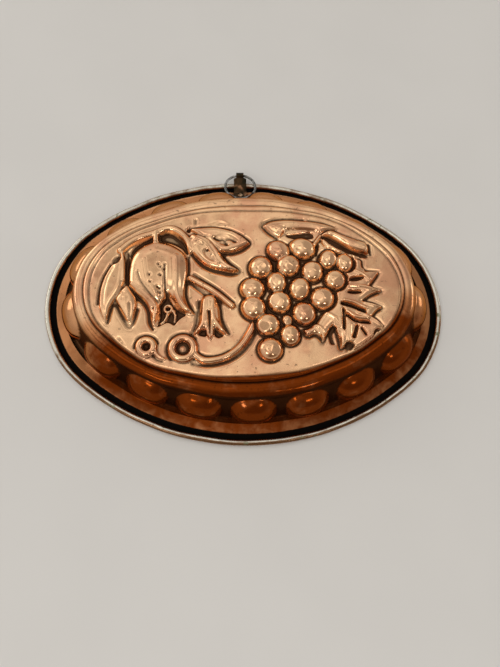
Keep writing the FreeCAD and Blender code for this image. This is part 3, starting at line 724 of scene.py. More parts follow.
class Graph:
    """Short ways to add nodes to a tree, so that a finish reads as a list of its layers."""

    def __init__(self, tree: bpy.types.NodeTree) -> None:
        """Keep the tree that is built."""
        self.tree = tree

    def feed(self, node: bpy.types.Node, inputs: dict) -> None:
        """Link or set inputs of a node, by name or number."""
        for key, value in inputs.items():
            value = value.socket if isinstance(value, Term) else value
            if isinstance(value, bpy.types.NodeSocket):
                self.tree.links.new(value, node.inputs[key])
            else:
                node.inputs[key].default_value = value

    def node(self, kind: str, inputs: dict | None = None, **settings) -> bpy.types.Node:
        """Add a node.

        Args:
            kind: The node's type name.
            inputs: Values, terms or sockets for its inputs, by name or number.
            settings: Properties to set on it first.

        Returns:
            The new node.
        """
        made = self.tree.nodes.new(kind)
        for name, value in settings.items():
            setattr(made, name, value)
        self.feed(made, inputs or {})
        return made

    def term(self, kind: str, inputs: dict | None = None, output: int | str = 0, **settings) -> Term:
        """One output of a new node."""
        return Term(self, self.node(kind, inputs, **settings).outputs[output])

    def math(self, operation: str, *terms: object) -> Term:
        """Result of a maths node on terms or numbers."""
        return self.term("ShaderNodeMath", dict(enumerate(terms)), operation=operation)

    def vector(self, operation: str, *terms: object, output: str = "Vector") -> Term:
        """Result of a vector maths node; a scale takes its factor last."""
        inputs = {0: terms[0], "Scale": terms[1]} if operation == "SCALE" else dict(enumerate(terms))
        return self.term("ShaderNodeVectorMath", inputs, output, operation=operation)

    def parts(self, vector: object) -> list[Term]:
        """X, Y and Z of a vector."""
        return [Term(self, socket) for socket in self.node("ShaderNodeSeparateXYZ", {0: vector}).outputs]

    def ease(self, value: object, low: float, high: float) -> Term:
        """Value eased from 0 at low to 1 at high."""
        inputs = {"Value": value, "From Min": low, "From Max": high}
        return self.term("ShaderNodeMapRange", inputs, interpolation_type="SMOOTHSTEP")

    def noise(self, place: object, size: float, detail: float = 2.0, rough: float = 0.5,
              warp: float = 0.0) -> Term:
        """Noise whose blotches have about the given size in millimetres."""
        return self.term("ShaderNodeTexNoise", {"Vector": place, "Scale": 1 / (size * MM), "Detail": detail,
                                                "Roughness": rough, "Distortion": warp}, "Fac")

    def mix(self, share: object, first: object, second: object) -> Term:
        """Colour between two, by share."""
        colours = [(*c, 1.0) if isinstance(c, tuple) else c for c in (first, second)]
        return self.term("ShaderNodeMix", {0: share, 6: colours[0], 7: colours[1]}, 2, data_type="RGBA")

    def blend(self, share: object, first: object, second: object) -> Term:
        """Number between two, by share."""
        return self.term("ShaderNodeMix", {0: share, 2: first, 3: second}, data_type="FLOAT")

    def mark(self, name: str) -> Term:
        """Value of a mark stored on the mesh."""
        return self.term("ShaderNodeAttribute", output="Fac", attribute_name=name)


def new_finish(name: str) -> tuple[bpy.types.Material, Graph, bpy.types.Node, Term]:
    """Empty node material with its shader.

    Args:
        name: The material's name.

    Returns:
        The material, its graph, its shader and the object coordinates.
    """
    material = bpy.data.materials.new(name)
    material.use_nodes = True
    material.node_tree.nodes.clear()
    graph = Graph(material.node_tree)
    shader = graph.node("ShaderNodeBsdfPrincipled")
    graph.node("ShaderNodeOutputMaterial", {"Surface": shader.outputs[0]})
    return material, graph, shader, graph.term("ShaderNodeTexCoord", output="Object")


@dataclass(frozen=True)
class AgedCopper:
    """Rubbed copper: grime and painted shade in its hollows, a dark tone with painted shade and reflection on
    the side, tin over the roll and inside, and black grime with painted shade in the flange.
    """

    rubbed: Colour = (0.84, 0.51, 0.28)
    rosy: Colour = (0.68, 0.345, 0.19)
    # Tones for oxide on the wall, painted shade between the lobes and a painted dark reflection on the side.
    toned_and_shade: Colour = (0.52, 0.22, 0.09)
    deep_and_shade: Colour = (0.165, 0.030, 0.003)
    grime: Colour = (0.24, 0.17, 0.10)
    # Near black for grime and painted shade in the darkest hollows.
    crevice_dirt_and_shade: Colour = (0.040, 0.012, 0.004)
    # Black for grime with painted shade in the flange, and for the painted shadow beside the strap.
    soot_and_shade: Colour = (0.002, 0.002, 0.002)
    tin: Colour = (0.62, 0.58, 0.49)
    # Brown for tarnish and for a painted dark reflection on the roll.
    tin_stain_and_reflection: Colour = (0.21, 0.11, 0.055)
    green: Colour = (0.20, 0.20, 0.12)
    edge_tint: Colour = (0.84, 0.56, 0.38)
    edge_shine: float = 0.04
    blotch_size: float = 16.0
    patch_size: float = 7.0
    speck_size: float = 1.3
    pit_size: float = 1.6
    green_size: float = 4.0
    hammer_sizes: Point = (6.0, 15.0)
    hammer_depth: float = 0.42

    def dirt_and_shade(self, g: Graph, place: Term, patch: Term, speck: Term) -> Term:
        """Grime and painted shade in the hollows, grime in small pits, rubbed off the ridges."""
        dirt_and_shade = g.ease(g.mark("recess_dirt_and_shade") + (speck - 0.5) * 0.35, 0.14, 0.85) * (1.0 - g.mark("ridge") * 0.6)
        pits = g.ease(g.noise(place, self.pit_size, 1, 0.4), 0.66, 0.76) * g.ease(patch, 0.4, 0.6)
        return g.math("MAXIMUM", dirt_and_shade, pits * 0.6)

    def bare_copper(self, g: Graph, place: Term, patch: Term, side: Term, dirt_and_shade: Term) -> Term:
        """Colour of the copper: stained in patches, dark on the side with oxide, painted shade and a painted
        dark reflection, with grime and painted shade over the hollows.
        """
        blotch = g.ease(g.noise(place, self.blotch_size, 4, 0.6), 0.38, 0.66)
        # Random tarnish patches, oxide tone on wall and collar, painted shade between the lobes and a painted
        # dark reflection on what faces the front.
        stain_and_reflection = g.math("MAXIMUM", g.ease(patch, 0.5, 0.8) * 0.35, g.ease(side, 0.0, 0.5))
        copper = g.mix(stain_and_reflection, g.mix(blotch, self.rubbed, self.rosy), self.toned_and_shade)
        copper = g.mix(g.ease(side + (patch - 0.5) * 0.8, 0.45, 1.0), copper, self.deep_and_shade)
        copper = g.mix(dirt_and_shade * (side * -0.6 + 0.6), copper, self.grime)
        # Hollows darkened with grime and painted shade.
        copper = g.vector("SCALE", copper, 1.0 - dirt_and_shade * (side * 0.28 + 0.62))
        return g.mix(g.ease(dirt_and_shade, 0.75, 1.1), copper, self.crevice_dirt_and_shade)

    def tinning(self, g: Graph, place: Term, patch: Term) -> Term:
        """Colour of the tin, with brown tarnish, a painted dark reflection on the roll, and a little green.
        """
        # Brown mask: tarnish with a painted dark reflection on the roll.
        stain_and_reflection = g.ease(g.mark("stain_and_reflection") + (patch - 0.55) * 1.6, 0.15, 0.85)
        green = g.ease(g.noise(place, self.green_size, 3, 0.6), 0.58, 0.72)
        return g.mix(green, g.mix(stain_and_reflection, self.tin, self.tin_stain_and_reflection), self.green)

    @staticmethod
    def scratches(g: Graph, place: Term, turn: float, squeeze: float, size: float) -> Term:
        """Fine scratches that all run one way."""
        inputs = {"Vector": place, "Rotation": (0, 0, turn), "Scale": (1, squeeze, 1)}
        return g.noise(g.term("ShaderNodeMapping", inputs), size, 2, 0.6)

    def material(self) -> bpy.types.Material:
        """Build the finish; its marks come with the mesh: tin, tarnish with a painted dark reflection, black
        grime with painted shade, grime with painted shade in hollows, rubbed ridges, and the side's dark tone
        with painted shade and reflection.
        """
        material, g, shader, place = new_finish("aged_copper")
        side = g.mark("side")
        patch = g.noise(place, self.patch_size, 4, 0.6, 0.4)
        speck = g.noise(place, self.speck_size, 3, 0.6)
        dirt_and_shade = self.dirt_and_shade(g, place, patch, speck)
        tin_share = g.ease(g.mark("tin") + (patch - 0.5) * 0.5, 0.35, 0.65)
        # Black: grime with painted shade in the flange's channel, and a painted shadow beside the strap.
        soot_and_shade = g.ease(g.mark("soot_and_shade") + (speck - 0.5) * 0.3, 0.35, 0.7)
        copper = self.bare_copper(g, place, patch, side, dirt_and_shade)
        colour = g.mix(soot_and_shade, g.mix(tin_share, copper, self.tinning(g, place, patch)), self.soot_and_shade)

        hairline = self.scratches(g, place, 0.5, 0.08, 0.5)
        cross = self.scratches(g, place, -0.9, 0.1, 0.7)
        rough = hairline * 0.08 + 0.10 + g.ease(patch, 0.4, 0.8) * 0.08 + dirt_and_shade * 0.22 + tin_share * 0.12
        # Less metal where the side's painted shade and reflection lie, and where grime and painted shade fill
        # the hollows.
        patina_and_shade = g.math("MAXIMUM", g.ease(side, 0.5, 1.0) * 0.35, dirt_and_shade * 0.3)
        fine, broad = (g.noise(place, size, 1, 0.4) for size in self.hammer_sizes)
        height = (fine + broad * 2.2) * self.hammer_depth + hairline * 0.012 + cross * 0.010
        bump = g.node("ShaderNodeBump", {"Strength": 0.6, "Distance": 0.6 * MM,
                                         "Height": height + speck * dirt_and_shade * 0.08})
        g.feed(shader, {"Base Color": colour, "Roughness": g.blend(soot_and_shade, rough, 0.62),
                        "Metallic": (1.0 - soot_and_shade) * (1.0 - patina_and_shade), "Normal": bump.outputs[0],
                        "Specular Tint": (*self.edge_tint, 1.0), "Specular IOR Level": self.edge_shine})
        return material


@dataclass(frozen=True)
class WornMetal:
    """Small metal parts: a base tone, a tarnish and a rubbed tone where hands and wire touch."""

    name: str
    base: Colour
    tarnish: Colour
    rubbed: Colour
    roughness: float
    grain: float = 2.0
    rub: float = 0.3

    def material(self) -> bpy.types.Material:
        """Build the finish."""
        material, g, shader, place = new_finish(self.name)
        patch = g.noise(place, self.grain * 2, 4, 0.6, 0.5)
        speck = g.noise(place, self.grain * 0.3, 3, 0.65)
        worn = g.ease(g.noise(place, self.grain * 3, 2, 0.5), 0.75 - self.rub, 0.95 - self.rub)
        colour = g.mix(g.ease(patch, 0.4, 0.65), self.base, self.tarnish)
        bump = g.node("ShaderNodeBump", {"Strength": 0.5, "Distance": 0.5 * MM,
                                         "Height": patch * 0.1 + speck * 0.05})
        g.feed(shader, {"Base Color": g.mix(worn * g.ease(speck, 0.3, 0.6), colour, self.rubbed),
                        "Roughness": speck * 0.3 + (self.roughness - 0.1), "Normal": bump.outputs[0],
                        "Metallic": 1.0})
        return material


STRAP_FINISH = WornMetal(
    "tarnished_copper", base=(0.055, 0.030, 0.014), tarnish=(0.022, 0.017, 0.009), rubbed=(0.50, 0.24, 0.12),
    roughness=0.28, rub=0.16)
RIVET_FINISH = WornMetal(
    "rivet_copper", base=(0.34, 0.16, 0.07), tarnish=(0.06, 0.03, 0.012), rubbed=(0.85, 0.60, 0.38),
    roughness=0.2)
WIRE_FINISH = WornMetal(
    "ring_steel", base=(0.22, 0.21, 0.19), tarnish=(0.035, 0.033, 0.028), rubbed=(0.70, 0.70, 0.69),
    roughness=0.22)


def helper_object(name: str, data: bpy.types.ID) -> bpy.types.Object:
    """Object that only feeds a geometry tree."""
    made = bpy.data.objects.new(name, data)
    bpy.context.scene.collection.objects.link(made)
    return made


def new_geometry(name: str, kinds: dict[str, str]) -> tuple[Graph, dict[str, Term]]:
    """Empty geometry tree with named inputs.

    Args:
        name: The tree's name.
        kinds: Type of each input, such as Float or Object, by the input's name.

    Returns:
        The tree's graph, and its inputs by name.
    """
    tree = bpy.data.node_groups.new(name, "GeometryNodeTree")
    tree.interface.new_socket(name="Geometry", in_out="OUTPUT", socket_type="NodeSocketGeometry")
    for label, kind in kinds.items():
        tree.interface.new_socket(name=label, in_out="INPUT", socket_type=f"NodeSocket{kind}")
    graph = Graph(tree)
    outputs = graph.node("NodeGroupInput").outputs
    return graph, {label: Term(graph, outputs[label]) for label in kinds}


def finish_geometry(graph: Graph, geometry: Term, finish: Term) -> None:
    """End a geometry tree: make its mesh real and set the finish."""
    real = graph.term("GeometryNodeRealizeInstances", {"Geometry": geometry})
    done = graph.term("GeometryNodeSetMaterial", {"Geometry": real, "Material": finish})
    graph.node("NodeGroupOutput", {0: done})


def evaluated_mesh(name: str, tree: bpy.types.NodeTree, values: dict[str, object]) -> bpy.types.Mesh:
    """Plain mesh that a geometry tree makes.

    Args:
        name: Name for the mesh.
        tree: The tree.
        values: Value of each input, by the input's name.

    Returns:
        The mesh, with the modifier's holder removed.
    """
    holder = helper_object(name + "_holder", bpy.data.meshes.new(name + "_seed"))
    modifier = holder.modifiers.new("made", "NODES")
    modifier.node_group = tree
    for item in tree.interface.items_tree:
        if item.name in values:
            modifier[item.identifier] = values[item.name]
    graph = bpy.context.evaluated_depsgraph_get()
    mesh = bpy.data.meshes.new_from_object(holder.evaluated_get(graph))
    bpy.data.objects.remove(holder)
    mesh.name = name
    return mesh


def plain_mesh(name: str, shape: bmesh.types.BMesh, finish: bpy.types.Material) -> bpy.types.Mesh:
    """Smooth-shaded mesh of an edited shape, which is freed.

    Args:
        name: The mesh's name.
        shape: The edited shape.
        finish: The mesh's only material.

    Returns:
        The mesh.
    """
    mesh = bpy.data.meshes.new(name)
    shape.to_mesh(mesh)
    shape.free()
    mesh.materials.clear()
    mesh.materials.append(finish)
    mesh.shade_smooth()
    return mesh


def show(name: str, mesh: bpy.types.Mesh, body: str, slot: str, *nodes: str) -> bpy.types.Object:
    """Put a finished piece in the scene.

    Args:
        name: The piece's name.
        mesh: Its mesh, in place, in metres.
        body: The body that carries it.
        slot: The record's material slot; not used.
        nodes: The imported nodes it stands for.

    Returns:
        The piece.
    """
    piece = bpy.data.objects.new(name, mesh)
    bpy.context.scene.collection.objects.link(piece)
    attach(piece, body)
    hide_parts(*nodes)
    mesh.calc_loop_triangles()
    LOG.info("%s: %d points, %d triangles", name, len(mesh.vertices), len(mesh.loop_triangles))
    return piece


class Zone(enum.IntEnum):
    """What a station of the wall's section belongs to."""

    FIELD_EDGE = 0
    BEAD = 1
    WALL = 2
    COLLAR = 3
    FLANGE = 4
    ROLL = 5
    INSIDE = 6


@dataclass
class WallSection:
    """Section of the side, from the field's edge over the beads and wall to the roll and back inside."""

    sheet: float = 0.8
    roll_radius: float = 1.5
    roll_gap: float = 0.2
    flange_end: float = 5.6
    collar_end: float = 13.2
    collar_rise: float = 1.9
    foot_before: float = 0.9
    foot_after: float = 1.3
    foot_hollow: float = 0.33
    wall_end: float = 20.4
    wall_top: float = 16.8
    groove_inset: float = 28.0
    groove_height: float = 21.1
    lower_bulge: float = 2.3
    upper_end: float = 32.4
    upper_height: float = 22.5
    upper_bulge: float = 1.3
    field_inset: float = 33.4
    field_height: float = 22.9

    @staticmethod
    def bulged(a: Point, b: Point, bulge: float, steps: int) -> list[Point]:
        """Points of an arc from a to b, without b, that stands a bulge off its chord.

        Args:
            a: Where it starts.
            b: Where it ends.
            bulge: How far it stands off, outward, or inward where this is negative.
            steps: How many points.

        Returns:
            The points.
        """
        run = np.subtract(b, a)
        chord = np.hypot(*run)
        radius = (chord ** 2 / 4 + bulge ** 2) / (2 * bulge)
        normal = np.array((-run[1], run[0])) / chord
        centre = (np.add(a, b)) / 2 + normal * (bulge - radius)
        first = math.atan2(a[1] - centre[1], a[0] - centre[0])
        turn = -2 * math.asin(chord / 2 / radius)
        if bulge < 0:
            turn = -turn
        angles = first + turn * np.arange(steps) / steps
        reach = abs(radius)
        return [(centre[0] + reach * math.cos(t), centre[1] + reach * math.sin(t)) for t in angles]

    @staticmethod
    def straight(a: Point, b: Point, steps: int) -> list[Point]:
        """Points from a to b, without b."""
        return [(a[0] + (b[0] - a[0]) * i / steps, a[1] + (b[1] - a[1]) * i / steps) for i in range(steps)]

    def outside(self) -> list[tuple[Point, Zone]]:
        """Stations of the outer skin from the flange's edge to the field's edge."""
        foot = (self.collar_end, self.sheet + self.collar_rise)
        head = (self.wall_end, self.wall_top)
        groove = (self.groove_inset, self.groove_height)
        upper = (self.upper_end, self.upper_height)
        collar_start = (self.flange_end, self.sheet)
        before, after = self.foot_before, self.foot_after
        slope = math.atan2(head[1] - foot[1], head[0] - foot[0])
        low = (foot[0] - before, foot[1] - before * self.collar_rise / (foot[0] - self.flange_end))
        high = (foot[0] + after * math.cos(slope), foot[1] + after * math.sin(slope))
        runs = [
            (self.straight((self.roll_radius, self.sheet), collar_start, 3), Zone.FLANGE),
            (self.straight(collar_start, low, 6), Zone.COLLAR),
            (self.bulged(low, high, -self.foot_hollow, 3), Zone.COLLAR),
            (self.straight(high, head, 15), Zone.WALL),
            (self.bulged(head, groove, self.lower_bulge, 12), Zone.BEAD),
            (self.bulged(groove, upper, self.upper_bulge, 8), Zone.BEAD),
            (self.straight(upper, (self.field_inset, self.field_height), 3), Zone.FIELD_EDGE),
        ]
        stations = [(point, zone) for points, zone in runs for point in points]
        stations.append(((self.field_inset, self.field_height), Zone.FIELD_EDGE))
        return stations

    def inside(self, outer: list[tuple[Point, Zone]]) -> list[tuple[Point, Zone]]:
        """Every other station moved in by the sheet, from the flange's edge to the field's edge."""
        points = np.array([point for point, _ in outer])
        along = np.gradient(points, axis=0)
        normals = np.column_stack([along[:, 1], -along[:, 0]])
        normals /= np.hypot(*normals.T)[:, None]
        moved = points + normals * self.sheet
        moved[-1] = (self.field_inset, self.field_height - self.sheet)
        moved[0] = (self.roll_radius, 0.0)
        picked = [0] + [i for i in range(3, len(points) - 1, 2) if moved[i][1] > 0] + [len(points) - 1]
        return [((moved[i][0], max(moved[i][1], 0.0)), Zone.INSIDE) for i in picked]

    def roll(self) -> list[tuple[Point, Zone]]:
        """The sheet's edge curled up and over the flange, inner face first."""
        inner = self.roll_radius - self.sheet
        drop = math.asin((self.roll_radius - self.sheet - self.roll_gap) / self.roll_radius)

        def at(radius: float, angle: float) -> Point:
            return self.roll_radius + radius * math.cos(angle), self.roll_radius + radius * math.sin(angle)

        first, last = 1.5 * math.pi, -drop
        inward = [at(inner, first + (last - first) * i / 6) for i in range(1, 7)]
        outward = [at(self.roll_radius, last + (first - last) * i / 16) for i in range(16)]
        return [(p, Zone.ROLL) for p in inward + outward]

    def stations(self) -> list[tuple[Point, Zone]]:
        """The whole section as one run from the field's outer edge to its inner edge."""
        outer = self.outside()
        return outer[::-1] + self.roll() + self.inside(outer)


@dataclass
class LobedBand:
    """Side of the mould: the section swept round the oval, with evenly spaced lobes pressed out."""

    oval: Oval
    section: WallSection
    segments: int = 440
    lobe_count: int = 17
    lobe_length: float = 26.6
    lobe_radius: float = 12.2
    lobe_inset: float = 22.7
    lobe_height: float = 6.0
    lobe_blend: float = 0.8
    lobe_fullness: float = 2.5
    hanger_x: float = HANGER_X
    seam_gap: float = 0.002

    def sizes(self) -> dict[str, float]:
        """Sizes that the geometry tree takes, by the name of its input."""
        return {"Lobe Count": float(self.lobe_count), "Lobe Length": self.lobe_length,
                "Lobe Radius": self.lobe_radius, "Lobe Inset": self.lobe_inset,
                "Lobe Height": self.lobe_height, "Lobe Blend": self.lobe_blend,
                "Lobe Fullness": self.lobe_fullness, "Sheet": self.section.sheet}

    def tree(self) -> bpy.types.NodeTree:
        """Geometry tree of the band: each point of a grid is laid at its station round the path."""
        kinds = {"Path": "Object", "Section": "Object", "Segments": "Int", "Stations": "Int",
                 **dict.fromkeys(self.sizes(), "Float"), "Finish": "Material"}
        g, given = new_geometry("lobed_band", kinds)
        columns = given["Segments"] + 1.0
        grid = g.term("GeometryNodeMeshGrid", {0: 1.0, 1: 1.0, 2: columns, 3: given["Stations"]})
        across, along, _ = g.parts(g.term("GeometryNodeInputPosition"))
        around = across + 0.5
        station = g.math("ROUND", (along + 0.5) * (given["Stations"] - 1.0))

        path = g.term("GeometryNodeObjectInfo", {"Object": given["Path"]}, "Geometry")
        on_path = g.node("GeometryNodeSampleCurve", {"Curves": path, "Factor": around}, mode="FACTOR",
                         use_all_curves=True).outputs
        out = g.vector("NORMALIZE", g.vector("CROSS_PRODUCT", on_path["Tangent"], (0, 0, 1)))
        section = g.term("GeometryNodeObjectInfo", {"Object": given["Section"]}, "Geometry")
        sample = {"Geometry": section, "Value": g.term("GeometryNodeInputPosition"), "Index": station}
        inset, skin, height = g.parts(g.term("GeometryNodeSampleIndex", sample, data_type="FLOAT_VECTOR",
                                             domain="POINT"))

        pitch = g.term("GeometryNodeCurveLength", {0: path}) / given["Lobe Count"]
        off = (g.math("FRACT", around * given["Lobe Count"]) - 0.5) * pitch
        inset, height, gap = self.pushed_out(g, given, off, inset, height, skin * given["Sheet"])
        outward = g.vector("SCALE", out, given["Lobe Inset"] - inset)
        lift = g.term("ShaderNodeCombineXYZ", {2: height})
        place = g.vector("ADD", g.vector("ADD", on_path["Position"], outward), lift)

        marked = grid
        for name, value in (("station", station), ("lobe_gap", gap), ("even_inset", inset)):
            stored = {"Geometry": marked, "Name": name, "Value": value}
            marked = g.term("GeometryNodeStoreNamedAttribute", stored, data_type="FLOAT", domain="POINT")
        placed = g.term("GeometryNodeSetPosition", {"Geometry": marked, "Position": place})
        closed = g.term("GeometryNodeMergeByDistance", {"Geometry": placed, "Distance": self.seam_gap})
        finish_geometry(g, closed, given["Finish"])
        return g.tree

    @staticmethod
    def pushed_out(g: Graph, given: dict[str, Term], off: Term, inset: Term, height: Term,
                   thin: Term) -> tuple[Term, Term, Term]:
        """Push a point of the section out to the lobe that it lies in.

        Args:
            g: The graph that takes the nodes.
            given: The tree's inputs.
            off: Distance from the lobe's middle, along the path.
            inset: The point's inset.
            height: Its height.
            thin: How far inside the lobe's outer face it lies.

        Returns:
            The new inset and height, and how far outside the lobe the point was.
        """
        share = g.math("ABSOLUTE", off / (given["Lobe Length"] / 2.0 - thin)) ** given["Lobe Fullness"]
        radius = (given["Lobe Radius"] - thin) * g.math("SQRT", g.math("MAXIMUM", 1.0 - share, 0.0))
        inward, upward = inset - given["Lobe Inset"], height - given["Lobe Height"]
        away = g.math("SQRT", inward ** 2.0 + upward ** 2.0)
        gap = away - radius
        blend = g.math("SQRT", gap ** 2.0 + given["Lobe Blend"] ** 2.0)
        push = g.math("MAXIMUM", (away + radius + blend) * 0.5, away) / away
        return (g.math("MULTIPLY_ADD", inward, push, given["Lobe Inset"]),
                g.math("MULTIPLY_ADD", upward, push, given["Lobe Height"]), gap)

    def build(self, finish: bpy.types.Material) -> tuple[bpy.types.Mesh, list[Zone]]:
        """Make the band in millimetres.

        Args:
            finish: The material that the tree sets.

        Returns:
            The mesh with the marks station, lobe_gap and even_inset, and each station's zone.
        """
        stations = self.section.stations()
        ring = self.oval.points(self.lobe_inset, self.segments, self.hanger_x)
        path = bpy.data.curves.new("lobe_path", "CURVE")
        path.dimensions = "3D"
        spline = path.splines.new("POLY")
        spline.points.add(len(ring) - 1)
        flat, weight = np.zeros(len(ring)), np.ones(len(ring))
        spline.points.foreach_set("co", np.column_stack([ring, flat, weight]).ravel())
        spline.use_cyclic_u = True
        profile = bpy.data.meshes.new("wall_section")
        profile.from_pydata([(p[0], float(zone is Zone.INSIDE), p[1]) for p, zone in stations], [], [])
        helpers = [helper_object("lobe_path", path), helper_object("wall_section", profile)]
        values = {"Path": helpers[0], "Section": helpers[1], "Segments": self.segments,
                  "Stations": len(stations), "Finish": finish, **self.sizes()}
        mesh = evaluated_mesh("lobed_band", self.tree(), values)
        for helper in helpers:
            bpy.data.objects.remove(helper)
        return mesh, [zone for _, zone in stations]


@dataclass
class SideMarks:
    """The finish's marks on the side, each worked out from where its points lie.

    A point's inset is its even one, and its gap is how far the section passes outside the lobe there.
    """

    oval: Oval
    section: WallSection
    points: np.ndarray
    inset: np.ndarray
    gap: np.ndarray
    zone: np.ndarray
    # Way in the plan whose surfaces get a painted dark reflection.
    dark_reflection_way: Point = (0.26, -0.965)
    strap_foot: Point = (HANGER_X, 70.0)
    strap_reach: Point = (8.5, 4.5)
    tin_level: float = 0.25

    def __post_init__(self) -> None:
        """Work out what several marks need."""
        self.outer = self.zone < Zone.ROLL
        self.on_roll = self.zone == Zone.ROLL
        x, self.y, self.z = self.points.T
        way = np.column_stack([x - np.clip(x, -self.oval.end_centre, self.oval.end_centre) * 0.9, self.y])
        way /= np.maximum(np.hypot(*way.T), 1e-6)[:, None]
        # Weight of the painted dark reflection, full on what faces the dark way.
        self.dark_reflection_side = smooth_step(way @ np.array(self.dark_reflection_way), -0.05, 0.75)
        (foot_x, foot_y), (reach_x, reach_y) = self.strap_foot, self.strap_reach
        # Painted shadow of strap and ring, with solder blackening, round the strap's foot.
        self.strap_shadow_and_solder = np.exp(-((x - foot_x) / reach_x) ** 2 - ((self.y - foot_y) / reach_y) ** 2)

    def near(self, inset: float, width: float) -> np.ndarray:
        """Bell that is 1 where a point lies at an inset."""
        return np.exp(-((self.inset - inset) / width) ** 2)

    def soot_and_shade(self) -> np.ndarray:
        """Black in the flange's channel, grime with painted shade under the roll, and on the collar beside
        the strap a painted shadow of strap and ring with solder blackening.
        """
        far_end = self.section.flange_end - 0.9 * smooth_step(self.y, 10, 60)
        flange = smooth_step(self.inset, 2.2, 3.0) * (1 - smooth_step(self.inset - far_end, -0.4, 1.2))
        channel = np.where(self.zone <= Zone.ROLL, flange * (self.z < 1.8), 0)
        on_collar = self.outer & (self.inset < self.section.collar_end)
        return np.maximum(channel, np.where(on_collar, self.strap_shadow_and_solder * 0.75, 0))

    def recess_dirt_and_shade(self) -> np.ndarray:
        """Grime and painted shade between the lobes, darker towards the front, and in the grooves, at the
        wall's foot and under the lower bead.
        """
        s = self.section
        # Painted shade between the lobes, stronger towards the front, with grime.
        between = 0.42 + 0.43 * smooth_step(-self.y, -10, 35)
        valley = np.where(self.gap > 0, between, np.exp(-(self.gap / 0.6) ** 2) * between)
        on_wall = smooth_step(self.inset, 11.5, 14.5) * (1 - smooth_step(self.inset, 20.5, 23.0))
        foot = self.near(s.collar_end, 1.4) * (self.gap > 0) * 0.5
        grooves = self.near(s.groove_inset, 0.8) * 0.8 + self.near(s.upper_end, 0.6) * 0.7
        lines = grooves + foot + self.near(s.wall_end + 0.4, 0.9) * 0.5
        return np.clip(np.maximum(valley * self.outer * on_wall, lines * self.outer), 0, 1)

    def side(self) -> np.ndarray:
        """Dark tone: oxide on the wall and collar, painted shade between the lobes, and a painted dark
        reflection on all that faces the dark way.
        """
        s = self.section
        wall = smooth_step(self.z, 1.2, 3.5) * (1 - smooth_step(self.inset, 19.5, 22.5)) * 0.5
        # Painted shade: darker between the lobes than on them.
        wall = wall * np.where(self.gap < 0, 0.7, 1.25)
        beyond = smooth_step(self.inset, s.collar_end, s.collar_end + 2)
        collar = smooth_step(self.inset, 4, 6) * (1 - beyond) * 0.55
        # Painted dark reflection on all that faces the dark way.
        dark_reflection = self.dark_reflection_side * (1 - smooth_step(self.inset, 31.6, 33.6))
        fade = 0.85 + 0.15 * smooth_step(self.inset, s.flange_end, s.collar_end)
        return np.maximum(np.maximum(wall, collar), dark_reflection) * self.outer * fade

    def stain_and_reflection(self) -> np.ndarray:
        """Brown on the roll: tarnish all round and far off, a painted dark reflection low down and on its
        front, and a painted shadow with solder blackening beside the strap.
        """
        # Painted dark reflection low on the roll and on its front half; the rest is tarnish.
        under = 1 - smooth_step(self.z, 1.9, 3.05)
        outer_half = (1 - smooth_step(self.inset, 0.7, 1.9)) * self.dark_reflection_side * 1.3
        far_half = smooth_step(self.y, 30, 70) * 0.3
        stain_and_reflection = 0.15 + np.maximum(under * (0.5 + 0.6 * self.dark_reflection_side), outer_half) + far_half
        return np.where(self.on_roll, stain_and_reflection, self.tin_level) + self.strap_shadow_and_solder * 0.6 * self.on_roll

    def all(self) -> dict[str, np.ndarray]:
        """Every mark by name."""
        return {"tin": (self.on_roll | (self.zone == Zone.INSIDE)) * 1.0, "stain_and_reflection": self.stain_and_reflection(),
                "soot_and_shade": self.soot_and_shade(), "recess_dirt_and_shade": self.recess_dirt_and_shade(),
                "ridge": smooth_step(-self.gap, 1.5, 4.5) * self.outer * 0.6, "side": self.side()}


@dataclass
class RaisedField:
    """The raised field: its relief, the back of its sheet and how sunk each place is, for grime and painted
    shade in its hollows.
    """

    oval: Oval
    section: WallSection
    spread: Spread
    margin: float = 8.0
    edge_fade: float = 0.9
    worn: float = 0.22

    def __post_init__(self) -> None:
        """Work the relief, rub it smooth and take its back off it."""
        start = self.section.field_inset
        sheet = Sheet(self.oval.half_length - start + self.margin, self.oval.half_width - start + self.margin)
        Relief(sheet).raise_all()
        x, y = np.meshgrid(sheet.xs, sheet.ys)
        inset = self.oval.inset_of(x, y) + self.spread.amount(self.oval, x, y, np.full(x.shape, start))
        sheet.height *= smooth_step(inset, start, start + self.edge_fade)
        sheet.height = sheet.blurred(sheet.height, self.worn)
        broad, fine = (sheet.blurred(sheet.height, spread) - sheet.height for spread in (1.3, 0.6))
        self.sheet = sheet
        # Hollows of the relief and its sunk places give grime and painted shade.
        self.sunk = (broad + fine) + sheet.blurred(sheet.dirt_and_shade, self.worn) * 0.85
        self.back = sheet.blurred(sheet.underside(self.section.sheet), 0.35)

    def heights(self, plan: np.ndarray, top: bool) -> np.ndarray:
        """Heights of the outer or inner face over points of the plan."""
        surface = self.sheet.height if top else self.back
        return self.sheet.at(surface, *plan.T) + self.section.field_height

    def marks(self, plan: np.ndarray, top: bool) -> dict[str, np.ndarray]:
        """The finish's marks at points of the plan, on the outer or inner face."""
        depth = self.sheet.at(self.sunk, *plan.T)
        none = np.zeros(len(plan))
        return {"tin": none + (0.0 if top else 1.0), "stain_and_reflection": none + SideMarks.tin_level, "soot_and_shade": none,
                # Hollows get grime and painted shade.
                "recess_dirt_and_shade": np.clip(depth / 1.5, 0, 1) * (1.0 if top else 0.3),
                "ridge": np.clip(-depth / 0.7, 0, 1), "side": none}


